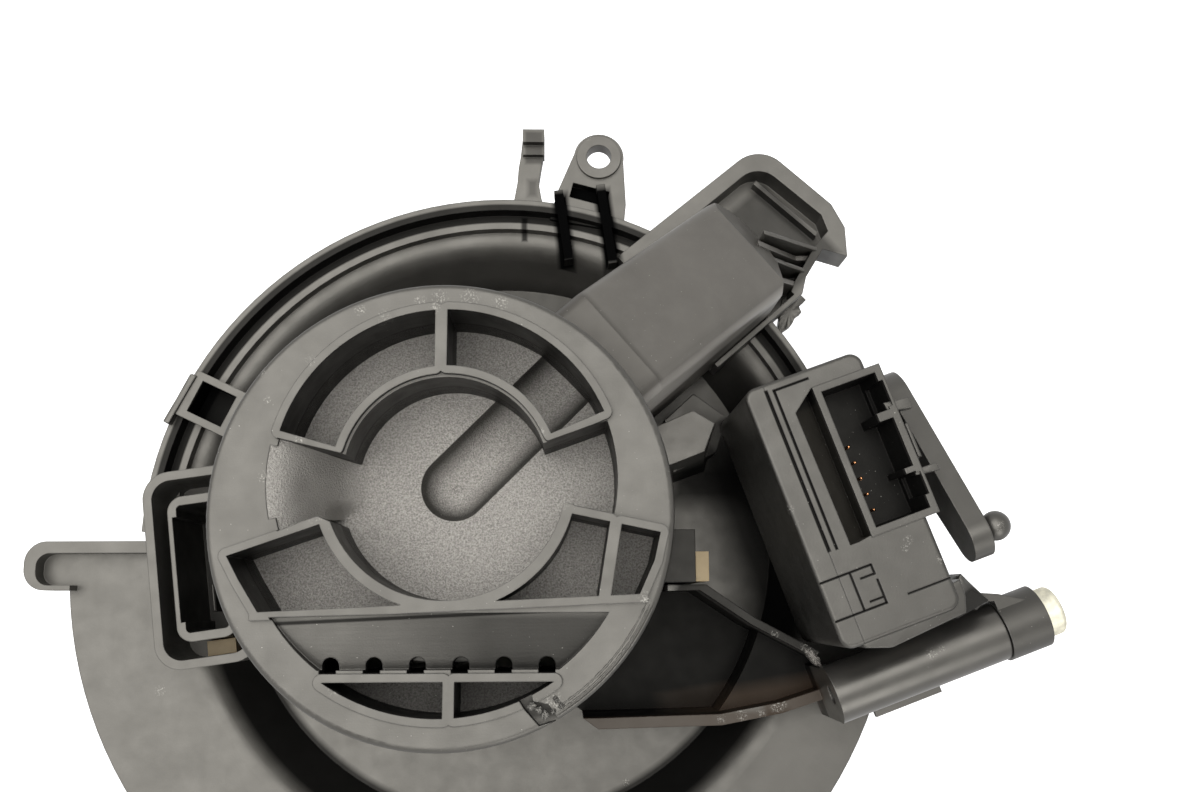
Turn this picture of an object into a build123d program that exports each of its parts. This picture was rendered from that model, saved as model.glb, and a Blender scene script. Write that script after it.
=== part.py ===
from build123d import *
import os
from math import atan2, cos, degrees, radians, sin

# Car cabin blower motor, seen from the motor cap side.
# Origin: the motor axis in the plane of the screw ears' lower face. +Z points to the motor cap.

# Running and seating clearances
seat_gap = 0.15
shaft_gap = 0.03
lever_gap = 0.5
lever_shaft_gap = 0.05

# Scroll cover: a flange plate, a raised double rim and a deep well round the motor pot
plate_t = 2.5
flange_centre = (4.0, -11.5)
flange_r = 98.5
flange_left_y = -9.0
flange_right_y = 14.0
rim_centre = (8.2, -9.8)
rim_r = 84.8
rim_lip_w = 2.7
rim_groove_w = 2.6
rim_ridge_w = 1.8
rim_lip_h = 7.0
rim_ridge_h = 5.5
rim_start = -12.0
rim_end = 178.0
well_top_r = 73.5
well_floor_r = 66.0
well_depth = 12.5
shoulder_r = 4.0
cover_wall = 2.2
spigot_r = 81.0
spigot_h = 5.0
hook_tab_x = -103.3
hook_tab_y = -20.4
hook_lip_w = 2.8
clip_x = 14.9
clip_w = 5.4
clip_end_y = 93.7
clip_t = 3.0
clip_hook_h = 6.5
clip_hook_l = 3.4

# Screw ears, on a circle about the motor axis
ear_circle_r = 92.6
ear_angle = 70.2
ear_lean = 80.0
ear_root = 18.0
ear_rib_lean = 98.5
ear_rib_t = 2.2
ear_eye_r = 6.3
ear_boss_r = 5.6
ear_hole_r = 3.1
ear_t = 4.0
ear_boss_h = 5.0
ear_pocket_l = 3.9
ear_pocket_w = 9.4

# Motor pot and cap
pot_centre = (-0.8, -6.3)
pot_r = 44.0
pot_wall = 2.0
pot_top = 35.0
cap_r = 45.2
cap_top = 60.5
cap_skirt_z = 30.0
cap_wall = 2.0
frame_top = 62.0
frame_wall = 1.6
recess_r = 33.3
recess_floor = 42.0
arc_in_r = 20.0
arc_wall = 2.1
low_arc_r = 23.3
crescent_r = 38.8
crescent_floor = 47.0
crescent_top_y = -38.4
notch_count = 6
notch_x0 = -21.6
notch_pitch = 8.25
notch_w = 3.2
notch_h = 2.9
notch_depth = 6.5
channel_r = 7.0
channel_depth = 4.5
channel_angle = 45.0

# Motor
can_r = 28.0
can_wall = 1.6
can_bottom = -27.0
can_top = 28.0
magnet_t = 5.0
magnet_h = 34.0
core_r = 20.8
core_h = 28.0
core_mid_z = -4.0
pole_count = 12
shaft_r = 3.0
shaft_bottom = -56.0
shaft_top = 34.0
bush_r = 7.0
bush_h = 6.0
card_t = 2.4
card_overhang = 1.4
commutator_r = 9.0
commutator_z = 16.6
commutator_h = 9.6
winding_r = 18.0
winding_h = 6.0
isolator_r = 31.0
isolator_flange_r = 33.2
isolator_flange_t = 3.0

# Fan wheel
fan_r = 62.0
fan_blade_depth = 12.0
fan_blade_in_r = fan_r - fan_blade_depth
fan_ring_in = 1.0
fan_ring_out = 1.2
fan_blades_count = 40
fan_blade_t = 1.3
fan_top = -15.5
fan_bottom = -66.0
fan_disc_t = 1.8
fan_hub_r = 8.0
fan_hub_top = -44.0
fan_dome_r = 33.0
fan_dome_z = -32.5
fan_hub_h = 9.0
fan_ring_h = 4.0

# Cooling duct and the raised cup that its mouth stands in
duct_angle = 41.0
duct_w = 27.0
duct_wall = 2.0
duct_round = 3.2
duct_start_z = 50.5
duct_end_z = 31.0
duct_end_s = 92.0
duct_base_z = 2.5
mouth_s0 = 74.0
mouth_s1 = 85.0
mouth_w = 18.0
cup_w_left = 21.5
cup_w_right = 15.0
cup_end_s = 113.0
cup_start_s = 66.0
cup_wall = 3.6
cup_side_wall = 1.2
cup_h = 10.0
fin_t = 1.2
fin_lean = -34.0

# Latch block at the pot's right side
latch_x = 51.4

# Power connector beside the cap
plug_centre = (-58.2, -15.3)
plug_angle = 8.0
shroud_l = 44.0
shroud_w = 23.0
shroud_top = 21.0
shell_l = 32.5
shell_w = 13.5
shell_top = 19.5
plug_wall = 2.0
blade_w = 6.3
blade_t = 0.8
blade_pitch = 14.0
shell_seat_h = 4.0
lead_w = 5.0
lead_t = 0.8
lead_rise_r = 31.0
lead_foot_x = -3.0
lead_top_z = 29.6

# Actuator, turned about Z: u across its thickness, v along its length
act_centre = (81.3, -3.0)
act_angle = 20.0
act_w = 26.0
act_l = 56.0
act_bottom = 8.0
act_top = 50.0
act_split_u = -8.5
act_wall = 1.8
act_corner_r = 2.6
act_edge_r = 0.9
line_w = 0.4
line_depth = 0.45
socket_u0 = 0.8
socket_u1 = 15.8
socket_v0 = -8.8
socket_v1 = 23.9
socket_wall = 1.5
socket_floor = 37.0
socket_bottom = 34.0
pin_count = 5
pin_pitch = 3.5
pin_size = 0.64
pin_u = 4.9
pin_v0 = -3.9
pin_bottom = 32.5
pin_top = 44.5

# Output lever and ball stud
lever_v = 15.0
lever_z = 30.0
lever_hub_r = 8.0
lever_end_r = 5.2
lever_len = 34.4
lever_rise = 27.0
lever_t = 4.4
lever_shaft_r = 5.0
lever_shaft_u = 4.0
lever_boss_r = 7.0
lever_boss_h = 6.1
ball_r = 3.1
ball_out = 3.0

# Actuator bracket with its screw tube
tube_v = -38.5
tube_z = 24.0
tube_r = 6.4
tube_bore_r = 2.1
tube_u0 = -14.0
tube_u1 = 25.8
sleeve_r = 6.9
sleeve_u1 = 35.6
screw_head_r = 5.4
screw_head_h = 4.4
screw_r = 2.0
bracket_t = 2.2
bracket_wall_h = 17.0
bracket_strip_h = 9.0


def cyl(r, z0, z1, centre=(0, 0)):
    """Upright cylinder between two heights."""
    return Pos(centre[0], centre[1], (z0 + z1) / 2) * Cylinder(r, z1 - z0)


def ring(r_out, r_in, z0, z1, centre=(0, 0)):
    """Upright tube between two heights."""
    return cyl(r_out, z0, z1, centre) - cyl(r_in, z0 - 1, z1 + 1, centre)


def block(x0, x1, y0, y1, z0, z1):
    """Box given by its limits."""
    middle = Pos((x0 + x1) / 2, (y0 + y1) / 2, (z0 + z1) / 2)
    return middle * Box(x1 - x0, y1 - y0, z1 - z0)


def polar(r, a, centre=(0, 0)):
    """Point at a radius and an angle in degrees."""
    return (centre[0] + r * cos(radians(a)), centre[1] + r * sin(radians(a)))


def sector(r0, r1, a0, a1):
    """Flat ring sector about the origin."""
    outer = CenterArc((0, 0), r1, a0, a1 - a0)
    inner = CenterArc((0, 0), r0, a0, a1 - a0)
    sides = [Line(polar(r0, a0), polar(r1, a0)), Line(polar(r0, a1), polar(r1, a1))]
    return make_face([outer, inner] + sides)


def prism(face, z0, z1):
    """Flat face drawn at z = 0, raised between two heights."""
    return extrude(Pos(0, 0, z0) * face, amount=z1 - z0)


def rod(r, x0, x1, y, z):
    """Round rod along X between two limits."""
    return Pos((x0 + x1) / 2, y, z) * Rot(0, 90, 0) * Cylinder(r, x1 - x0)


def polygon(points):
    """Face through a list of points."""
    return make_face(Polyline(*points, close=True).edges())


def spin(points, arc=360.0, start=0.0, centre=(0, 0)):
    """Revolve a radius and height profile about an upright axis."""
    solid = revolve(Plane.XZ * polygon(points), axis=Axis.Z, revolution_arc=arc)
    return Pos(centre[0], centre[1], 0) * Rot(0, 0, start) * solid


def stadium(x0, x1, y0, y1, r):
    """Rectangle with rounded corners."""
    return Pos((x0 + x1) / 2, (y0 + y1) / 2) * RectangleRounded(x1 - x0, y1 - y0, r)


# Flange plate, rim and well of the scroll cover
def flange_outline():
    """Large flange disc below two straight edges, joined to the rim disc."""
    left_x = flange_centre[0] - flange_r - 5
    right_x = flange_centre[0] + flange_r + 5
    low_y = flange_centre[1] - flange_r - 5
    half = polygon([(left_x, low_y), (right_x, low_y), (right_x, flange_right_y),
                    (flange_centre[0], flange_right_y), (flange_centre[0], flange_left_y),
                    (left_x, flange_left_y)])
    disc = Pos(*flange_centre) * Circle(flange_r)
    return (disc & half) + Pos(*rim_centre) * Circle(rim_r)


def rim_section():
    """Lip, groove and inner ridge of the raised rim."""
    r1 = rim_r
    r2 = r1 - rim_lip_w
    r3 = r2 - rim_groove_w
    r4 = r3 - rim_ridge_w
    low = plate_t - 0.5
    lip = [(r2, low), (r1, low), (r1, rim_lip_h), (r2, rim_lip_h)]
    ridge = [(r4, low), (r3, low), (r3, rim_ridge_h), (r4, rim_ridge_h)]
    return lip, ridge


def well_wall():
    """Sloped wall between the flange and the well's floor, with a rounded shoulder."""
    floor_z = plate_t - well_depth
    low_z = floor_z - cover_wall
    slope = Vector(well_floor_r - well_top_r, floor_z - plate_t).normalized() * shoulder_r
    start = (well_top_r + shoulder_r, plate_t)
    end = (well_top_r + slope.X, plate_t + slope.Y)
    round_edge = Bezier(start, (well_top_r, plate_t), end)
    rest = Polyline(end, (well_floor_r, floor_z), (well_floor_r, low_z), (well_floor_r + 1.4, low_z),
                    (well_top_r + cover_wall, 0), (well_top_r + shoulder_r, 0), start)
    face = Plane.XZ * make_face([round_edge] + rest.edges())
    return Pos(*rim_centre) * revolve(face, axis=Axis.Z)


def ear_frame(lean):
    """Frame at the visible ear's eye, with X pointing outwards at an angle."""
    x, y = polar(ear_circle_r, ear_angle)
    return Pos(x, y, 0) * Rot(0, 0, lean)


def screw_ear():
    """Eye with a tapered tongue that runs back over the rim, and a pocket in the tongue."""
    neck = ear_eye_r + 2.5
    root = ear_eye_r + 3.0
    tongue = polygon([(-ear_root, -root), (-ear_root + 7, -neck), (0, -ear_eye_r),
                      (0, ear_eye_r), (-ear_root + 7, neck), (-ear_root, root)])
    body = prism(Circle(ear_eye_r) + tongue, 0, ear_t) + cyl(ear_boss_r, 0, ear_boss_h)
    body -= Pos(-9.9, 0.7, ear_t) * Rot(0, 0, -5) * Box(ear_pocket_l, ear_pocket_w, 2 * ear_t - 1.4)
    return ear_frame(ear_lean) * body


def ear_hole(angle):
    """Screw hole of an ear."""
    return Rot(0, 0, angle) * cyl(ear_hole_r, -10, 20, (ear_circle_r, 0))


def ear_ribs():
    """Two ribs that carry the visible ear across the rim to the well."""
    left = block(-26, -8, 11.5 - ear_rib_t / 2, 11.5 + ear_rib_t / 2, plate_t - 1, rim_lip_h)
    right = block(-28.5, -8, 0.9 - ear_rib_t / 2, 0.9 + ear_rib_t / 2, plate_t - 1, rim_lip_h)
    return ear_frame(ear_rib_lean) * (left + right)


def hook_tab():
    """Tab at the flange's left end with a raised lip round it."""
    start_x = rim_centre[0] - rim_r + 6
    outline = stadium(hook_tab_x, start_x, hook_tab_y, flange_left_y, 5.0)
    inner = stadium(hook_tab_x + hook_lip_w, start_x + 20, hook_tab_y + 1.2, flange_left_y - hook_lip_w, 3.0)
    lip = prism(outline - inner, 0, rim_lip_h)
    lip -= block(hook_tab_x + 11, 0, hook_tab_y - 10, flange_left_y - hook_lip_w - 0.1, plate_t, 20)
    return prism(outline, 0, plate_t) + lip


def clip_arm():
    """Snap arm above the rim with a waisted neck and a hooked head."""
    x = clip_x
    y = clip_end_y
    half = clip_w / 2
    left = [(x - 5.6, y - 20), (x - 4.8, y - 17), (x - 4.1, y - 13), (x - 3.8, y - 9), (x - 3.3, y - 6)]
    head = [(x - half, y), (x + half, y)]
    right = [(x + 2.4, y - 6), (x + 1.9, y - 9), (x + 1.3, y - 13), (x + 2.0, y - 17), (x + 2.9, y - 20)]
    arm = prism(polygon(left + head + right), 0, clip_t)
    arm += block(x - half, x + half, y - clip_hook_l, y, 0, clip_hook_h)
    return arm + block(x - half, x + half, y - 6, y - clip_hook_l + 0.5, 0, clip_hook_h - 2)


def clip_socket():
    """Open box in the rim that takes a snap arm of the neighbouring duct."""
    outer = block(rim_r - 15, rim_r - 1.2, -5.8, 5.8, 0, rim_lip_h + 2)
    inner = block(rim_r - 12.5, rim_r - 3.5, -4.0, 4.0, 0.9, rim_lip_h + 3)
    place = Pos(*rim_centre) * Rot(0, 0, 154.5)
    return place * outer, place * inner


def duct_frame(solid):
    """Place a solid drawn along X onto the duct's direction."""
    return Rot(0, 0, duct_angle) * solid


def duct_cup():
    """Raised cup round the duct's mouth, with an open corner at its right."""
    outer = cup_outline(0)
    inner = cup_outline(cup_wall)
    cup = prism(outer, 0, plate_t) + prism(outer - inner, 0, cup_h)
    end = cup_end_s - cup_wall
    ledge = polygon([(end - 4.2, 14.2), (end - 3.0, 14.5), (end - 0.4, -5.8), (end - 1.6, -6.1)])
    return duct_frame(cup + prism(ledge, 0, cup_h - 4)) - duct_gap()


def cup_outline(inset):
    """Plan of the cup, or of its inside when a wall's thickness is given."""
    side = min(inset, cup_side_wall)
    end = cup_end_s - inset
    left = cup_w_left - inset
    right = -cup_w_right + side
    start = cup_start_s - 10 * inset
    if inset:
        corner = [(end - 15, right + 2.2), (end - 5.4, right + 5.5), (end + 0.2, -7.5), (end + 1.8, -3.4)]
    else:
        corner = [(end - 15.5, right + 2.5), (end - 7.5, right + 5), (end - 4.2, right - 0.3),
                  (end + 0.4, -9.5), (end + 1.9, -3.0)]
    face = polygon([(start, right), (end - 19, right)] + corner + [(end - 1.1, left - 1.3), (start, left)])
    return fillet(face.vertices().sort_by(Axis.Y)[-2], 8.0 - inset / 2)


def side_gusset():
    """Stepped gusset between the pot and the actuator seat."""
    base = polygon([(41.5, 16.6), (54, 23.0), (61, 19.5), (58, 9.0), (44, 4.0), (38, 8)])
    top = polygon([(41.5, 15.2), (52.5, 20), (57.5, 17), (55, 10.5), (44, 6.2), (38, 8)])
    body = loft([Pos(0, 0, plate_t - well_depth) * base, Pos(0, 0, 19) * top])
    return body


def latch_block():
    """Block on the pot's right side that holds the cap's latch."""
    return block(40, latch_x, -19.4, -8.0, plate_t - well_depth, cap_skirt_z)


def actuator_frame(solid):
    """Place a solid drawn in the actuator's u and v onto the plate."""
    return Pos(act_centre[0], act_centre[1], 0) * Rot(0, 0, act_angle) * solid


def actuator_seats():
    """Two pads that the actuator stands on."""
    pads = block(-10, 10, -24, -14, plate_t - 1, act_bottom) + block(-10, 10, 14, 24, plate_t - 1, act_bottom)
    return actuator_frame(pads)


def plug_frame(solid):
    """Place a solid drawn along the connector's length onto the plate."""
    return Pos(plug_centre[0], plug_centre[1], 0) * Rot(0, 0, plug_angle) * solid


def plug_shroud():
    """Wall round the power connector, open upwards."""
    outer = stadium(-shroud_w / 2, shroud_w / 2, -shroud_l / 2, shroud_l / 2, 6.0)
    inner = stadium(-shroud_w / 2 + plug_wall, shroud_w / 2 - plug_wall,
                    -shroud_l / 2 + plug_wall, shroud_l / 2 - plug_wall, 4.2)
    floor_z = plate_t - well_depth
    return plug_frame(prism(outer, floor_z, plate_t) + prism(outer - inner, floor_z, shroud_top))


def scroll_cover():
    """One moulding: flange, rim, well, motor pot, ears, clips, duct cup and connector wall."""
    floor_z = plate_t - well_depth
    body = prism(flange_outline(), 0, plate_t)
    body -= cyl(well_top_r + shoulder_r, -1, plate_t + 1, rim_centre)
    lip, ridge = rim_section()
    body += spin(lip, rim_end - rim_start, rim_start, rim_centre)
    body += spin(ridge, rim_end - rim_start, rim_start, rim_centre)
    body += well_wall()
    body += cyl(well_floor_r + 0.7, floor_z - cover_wall, floor_z, rim_centre)
    body += ring(spigot_r, spigot_r - 2.0, -spigot_h, 0.5, rim_centre)
    body += hook_tab() + clip_arm() + screw_ear() + ear_ribs()
    body += Rot(0, 0, ear_angle + 180) * cyl(ear_boss_r, 0, ear_boss_h, (ear_circle_r, 0))
    outer, inner = clip_socket()
    body = body + outer - inner
    body -= duct_gap()
    body += duct_cup() + side_gusset() + latch_block() + actuator_seats() + plug_shroud()
    body += cyl(pot_r, floor_z - cover_wall, pot_top, pot_centre)
    body -= cyl(pot_r - pot_wall, floor_z, pot_top + 50, pot_centre)
    body -= cyl(isolator_r + seat_gap, floor_z - 10, floor_z + 1)
    body -= ear_hole(ear_angle) + ear_hole(ear_angle + 180)
    body -= ring(cap_r + 20, pot_r, cap_skirt_z - 0.3, pot_top + 60, pot_centre)
    body -= duct_tunnel() + duct_mouth()
    body -= lead_slots()
    body -= shell_seat()
    return body


def duct_tunnel():
    """Way for cooling air through the pot wall under the duct."""
    return duct_frame(block(30, 60, -8, 8, 20, 32))


def shell_seat():
    """Pocket in the shroud's floor that the connector shell stands in."""
    floor_z = plate_t - well_depth
    seat = stadium(-shell_w / 2 - seat_gap, shell_w / 2 + seat_gap,
                   -shell_l / 2 - seat_gap, shell_l / 2 + seat_gap, 3.5 + seat_gap)
    return plug_frame(prism(seat, floor_z + shell_seat_h, plate_t + 1))


def lead_slots():
    """Slots under the connector and through the pot wall for the two power leads."""
    top = plate_t - well_depth + shell_seat_h
    slots = Part()
    for side in (-1, 1):
        y = side * blade_pitch / 2
        half = lead_w / 2 + seat_gap
        slots += block(lead_foot_x - seat_gap, lead_run(), y - half, y + half, top - lead_t - seat_gap, top)
    return plug_frame(slots)


def lead_run():
    """Distance from the connector's middle to the leads' risers, towards the motor."""
    dx = -plug_centre[0] * cos(radians(plug_angle))
    dy = -plug_centre[1] * sin(radians(plug_angle))
    return dx + dy - lead_rise_r


# Motor cap
def upper_pockets():
    """Two arc pockets behind the inner arc, with a rib between them."""
    pocket = sector(arc_in_r + arc_wall, recess_r, 23.0, 164.0)
    rib = Pos(-1.3, 28) * Rectangle(2.4, 20)
    return pocket - rib


def lower_pockets():
    """Pockets at the lower left and lower right with one rib."""
    r = low_arc_r + arc_wall
    left = polygon([(-41.1, -14.8), (-22.5, -8.4), (-10, -15), (-5, -24.0), (-34.8, -25.3), (-38.6, -19.3)])
    right = polygon([(20, -6.0), (41.4, -10.5), (40.2, -15.8), (37.3, -22.2), (6, -23.55), (10, -12)])
    pockets = left + right - Circle(r)
    return pockets - Pos(31.6, -16.5) * Rot(0, 0, -9.0) * Rectangle(2.3, 20)


def straight_wall():
    """Wall along the feet of the lower pockets."""
    return polygon([(-36.4, -25.35), (38.9, -22.1), (38.9, -22.1 - frame_wall), (-36.4, -25.35 - frame_wall)])


def crescent():
    """Crescent pocket at the cap's foot with its rib."""
    disc = Pos(*pot_centre) * Circle(crescent_r)
    below = Pos(0, crescent_top_y - 20) * Rectangle(120, 40)
    return (disc & below) - Pos(1.2, -44) * Rectangle(2.2, 20)


def open_recess():
    """Floor between the arcs: the round recess without the raised frames."""
    upper = sector(0.01, recess_r + 5, 20.0, 166.5)
    lower = polygon([(-50, -17.5), (-24.4, -7.2), (0, -18), (22.2, -4.6), (50, -10.7), (50, -60), (-50, -60)])
    floor = (Circle(recess_r) - lower) + Circle(low_arc_r) - upper
    return floor + sector(0.01, arc_in_r, 19.0, 167.5)


def channel(grow=0.0):
    """Half-round air channel from the axis to the duct side, with a round end."""
    r = (channel_r ** 2 + channel_depth ** 2) / (2 * channel_depth)
    centre_z = recess_floor + r - channel_depth
    low = (Align.CENTER, Align.CENTER, Align.MIN)
    trough = Pos(0, 0, centre_z) * Rot(0, 90, 0) * Cylinder(r + grow, 60, align=low)
    shape = Rot(0, 0, channel_angle) * (trough + Pos(0, 0, centre_z) * Sphere(r + grow))
    return shape & cyl(recess_r + grow, recess_floor - 12, recess_floor + 0.01)


def tooth_notches():
    """Row of round-ended notches along the crescent's wall."""
    cuts = Part()
    foot = crescent_top_y + frame_wall
    for i in range(notch_count):
        x = notch_x0 + i * notch_pitch
        slot = Pos(x, foot) * SlotOverall(2 * notch_h, notch_w, rotation=90)
        slot &= Pos(x, foot + notch_h / 2) * Rectangle(notch_w + 1, notch_h)
        cuts += prism(slot, cap_top - notch_depth, cap_top + 1)
    return cuts


def motor_cap():
    """Round moulded cap with deep pockets, ribs and an air channel."""
    outer = Pos(*pot_centre) * Circle(cap_r)
    frames = offset(upper_pockets() + Pos(-1.3, 28) * Rectangle(2.4, 9), amount=frame_wall)
    low = lower_pockets()
    frames += offset(low, amount=frame_wall) + straight_wall()
    frames += sector(low_arc_r, low_arc_r + arc_wall, 197.5, 348.5)
    frames = frames & (Pos(*pot_centre) * Circle(cap_r - 0.6))
    crown = offset(crescent(), amount=frame_wall)
    body = prism(outer, cap_skirt_z, cap_top)
    body = fillet(body.edges().group_by(Axis.Z)[-1], 1.2)
    body += prism(frames, cap_top - 1, frame_top) + prism(crown & outer, cap_top - 1, cap_top + 0.7)
    wells = open_recess() + upper_pockets() + low
    cells = offset(wells, amount=cap_wall) + Circle(recess_r + cap_wall)
    under = recess_floor - cap_wall
    body -= prism(Pos(*pot_centre) * Circle(pot_r + seat_gap), cap_skirt_z - 1, pot_top + 0.3)
    floor_room = prism(Pos(*pot_centre) * Circle(pot_r - 1.0), pot_top, under)
    body -= floor_room - channel(cap_wall)
    hollow = (Pos(*pot_centre) * Circle(pot_r - 1.0)) - cells - crown
    body -= prism(hollow, under - 1, cap_top - cap_wall - 3.5)
    body -= prism(wells, recess_floor, frame_top + 1)
    body -= channel()
    body -= panel_cut()
    body -= prism(crescent(), crescent_floor, frame_top + 1)
    body -= tooth_notches() + rim_break() + rolled_edge()
    return body


def rolled_edge():
    """Sloped lead-in of the recess on its open left side."""
    section = [(recess_r - 1, cap_top + 2), (recess_r + 1.8, cap_top + 2), (recess_r + 1.4, cap_top),
               (recess_r + 0.5, cap_top - 1.6), (recess_r - 0.1, cap_top - 5), (recess_r - 1, cap_top - 5)]
    return spin(section, 24.0, 169.0)


def panel_cut():
    """Sloping panel between the straight wall and the crescent."""
    wedge = Plane.YZ * polygon([(-25.6, 59.8), (-36.2, 57.2), (-36.2, 70), (-25.6, 70)])
    wedge = extrude(wedge, amount=60, both=True)
    disc = prism(Pos(*pot_centre) * Circle(crescent_r - 1.2), 50, 70)
    return wedge & disc & (Rot(0, 0, 1.2) * block(-60, 60, -60, -25.6, 50, 70))


def rim_break():
    """Chipped notch in the cap's rim."""
    chip = polygon([(13.6, -40.6), (16.6, -40.2), (17.2, -42.0), (20.0, -42.6),
                    (22.0, -45.5), (18.2, -46.6), (15.5, -43.6)])
    return prism(chip, cap_top - 2.6, frame_top + 1)


# Motor
def isolator_ring():
    """Soft flanged ring that seats the motor can in the pot's floor."""
    floor_z = plate_t - well_depth
    top = floor_z + isolator_flange_t
    return spin([(can_r, floor_z - cover_wall), (isolator_r, floor_z - cover_wall), (isolator_r, floor_z),
                 (isolator_flange_r, floor_z), (isolator_flange_r, top), (can_r, top)])


def motor_can():
    """Drawn steel can, closed at the fan end round the bush."""
    r = can_r - can_wall
    neck = bush_r + can_wall
    return spin([(bush_r, can_bottom - 2), (neck, can_bottom - 2), (neck, can_bottom - 0.01),
                 (can_r, can_bottom),
                 (can_r, can_top), (r, can_top), (r, can_bottom + can_wall), (bush_r, can_bottom + can_wall)])


def magnets():
    """Two curved magnets inside the can."""
    half = magnet_h / 2
    face = sector(can_r - can_wall - magnet_t, can_r - can_wall, -68, 68)
    one = prism(face, core_mid_z - half, core_mid_z + half)
    return one, Rot(0, 0, 180) * one


def bush(z0, z1):
    """Sintered bearing bush."""
    return ring(bush_r, shaft_r + shaft_gap, z0, z1)


def motor_shaft():
    """Steel shaft with a flat where the fan hub grips it."""
    body = cyl(shaft_r, shaft_bottom, shaft_top)
    return chamfer(body.edges(), 0.4)


def armature_core():
    """Laminated core with twelve T-shaped poles."""
    half = core_h / 2
    face = Circle(core_r)
    for i in range(pole_count):
        a = 360 / pole_count * (i + 0.5)
        slot = Pos(core_r - 5.5, 0) * SlotOverall(9.0, 5.0) + Pos(core_r, 0) * Rectangle(6, 1.6)
        face -= Rot(0, 0, a) * slot
    return prism(face, core_mid_z - half, core_mid_z + half) - cyl(shaft_r, -60, 60)


def winding(end):
    """Copper overhang of the winding at one end of the core, 1 for the cap end and -1 for the fan end."""
    z = core_mid_z + end * core_h / 2
    r = winding_r
    return spin([(6.5, z), (r, z), (r + 1, z + end * winding_h * 0.5), (r - 3, z + end * winding_h),
                 (9.0, z + end * winding_h), (6.5, z + end * (winding_h - 2))])


def commutator():
    """Copper segments on a moulded sleeve above the winding."""
    body = ring(commutator_r, shaft_r, commutator_z, commutator_z + commutator_h)
    for i in range(pole_count):
        groove = block(commutator_r - 1.5, commutator_r + 1, -0.25, 0.25, commutator_z + 1, can_top + 5)
        body -= Rot(0, 0, 360 / pole_count * i) * groove
    return body


def brush_card():
    """Plate over the can with a bearing seat and two brush boxes."""
    body = cyl(can_r + card_overhang, can_top, can_top + card_t)
    body += cyl(bush_r + 2, can_top, shaft_top)
    body -= cyl(bush_r, can_top - 1, shaft_top + 1)
    for side in (-1, 1):
        box = block(commutator_r + 1.0, 25, -3.9, 3.9, can_top - 9.0, can_top)
        box -= block(commutator_r, 23.8, -3.05, 3.05, can_top - 8.0, can_top - 1.0)
        body += Rot(0, 0, 90 + side * 90) * box
    return body


def brushes():
    """Two carbon brushes that bear on the commutator."""
    one = block(commutator_r + 0.05, 17.0, -2.95, 2.95, can_top - 7.9, can_top - 1.1)
    one -= cyl(commutator_r + 0.05, -60, 60)
    return one, Rot(0, 0, 180) * one


def brush_springs():
    """Two springs behind the brushes, as wound coils."""
    pair = []
    for side in (0, 180):
        path = Helix(pitch=1.5, height=6.0, radius=1.9)
        coil = sweep(Plane(path @ 0, z_dir=path % 0) * Circle(0.3), path)
        pair.append(Rot(0, 0, side) * Pos(17.4, 0, can_top - 4.5) * Rot(0, 90, 0) * coil)
    return pair


def fan_wheel():
    """Domed back disc of the squirrel-cage fan, with its hub."""
    z_hub = fan_hub_top
    t = fan_disc_t
    over_hub = z_hub + t * 1.1
    under = [(fan_hub_r - 2, z_hub), (fan_hub_r, z_hub), (fan_dome_r, fan_dome_z),
             (fan_blade_in_r, fan_top - t)]
    over = [(fan_r, fan_top - t), (fan_r, fan_top), (fan_blade_in_r - 1, fan_top),
            (fan_dome_r - 0.5, fan_dome_z + t * 1.25), (fan_hub_r, over_hub), (fan_hub_r - 2, over_hub)]
    body = spin(under + over) + cyl(fan_hub_r, z_hub - fan_hub_h, z_hub + 2.4)
    return body - cyl(shaft_r, fan_bottom - 1, 10)


def fan_blades():
    """Forward-curved blades, thin arcs in plan, between the disc and the stiffening ring."""
    r = fan_blade_depth * 0.72
    centre = (fan_blade_in_r + fan_blade_depth * 0.38, r * 0.62)
    arc = Pos(*centre) * (Circle(r) - Circle(r - fan_blade_t))
    plan = arc & sector(fan_blade_in_r, fan_r - fan_ring_in, -9, 5.5)
    blade = prism(plan.faces().sort_by(Axis.Y)[0], fan_bottom + 0.5, fan_top - fan_disc_t)
    return [Rot(0, 0, 360 / fan_blades_count * i) * blade for i in range(fan_blades_count)]


def fan_ring():
    """Stiffening ring round the blades' free ends."""
    return ring(fan_r + fan_ring_out, fan_r - fan_ring_in, fan_bottom, fan_bottom + fan_ring_h)


def fan_clip():
    """Spring nut that holds the fan on the shaft."""
    z = fan_hub_top - fan_hub_h
    return ring(fan_hub_r - 1.5, shaft_r, z - 0.8, z)


# Cooling duct
def duct_profile(inset):
    """Side profile of the duct, drawn in s and z."""
    z0 = duct_base_z + inset
    s0 = 30
    top = duct_start_z - inset
    end = duct_end_s - inset
    return [(s0, z0), (end, z0), (end, duct_end_z - 11 - inset), (end - 6, duct_end_z - inset),
            (end - 12, duct_end_z + 3 - inset), (46, top), (s0, top)]


def cooling_duct():
    """Hollow air duct from its cup on the plate to the motor pot."""
    half = duct_w / 2
    outer = extrude(Plane.XZ * polygon(duct_profile(0)), amount=half, both=True)
    upper = outer.edges().filter_by(lambda e: e.center().Z > duct_end_z - 5)
    outer = fillet(upper.filter_by(lambda e: abs(abs(e.center().Y) - half) < 0.01), duct_round)
    outer &= prism(duct_plan(0), 0, duct_start_z + 1)
    inner = extrude(Plane.XZ * polygon(duct_profile(duct_wall)), amount=half - duct_wall, both=True)
    inner &= prism(duct_plan(duct_wall), 0, duct_start_z + 1)
    body = duct_frame(outer + duct_fins() - inner) - duct_mouth()
    body -= cyl(cap_r + seat_gap, cap_skirt_z - seat_gap, 80, pot_centre)
    body -= cyl(pot_r + 0.01, -20, cap_skirt_z + 5, pot_centre)
    return body


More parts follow.
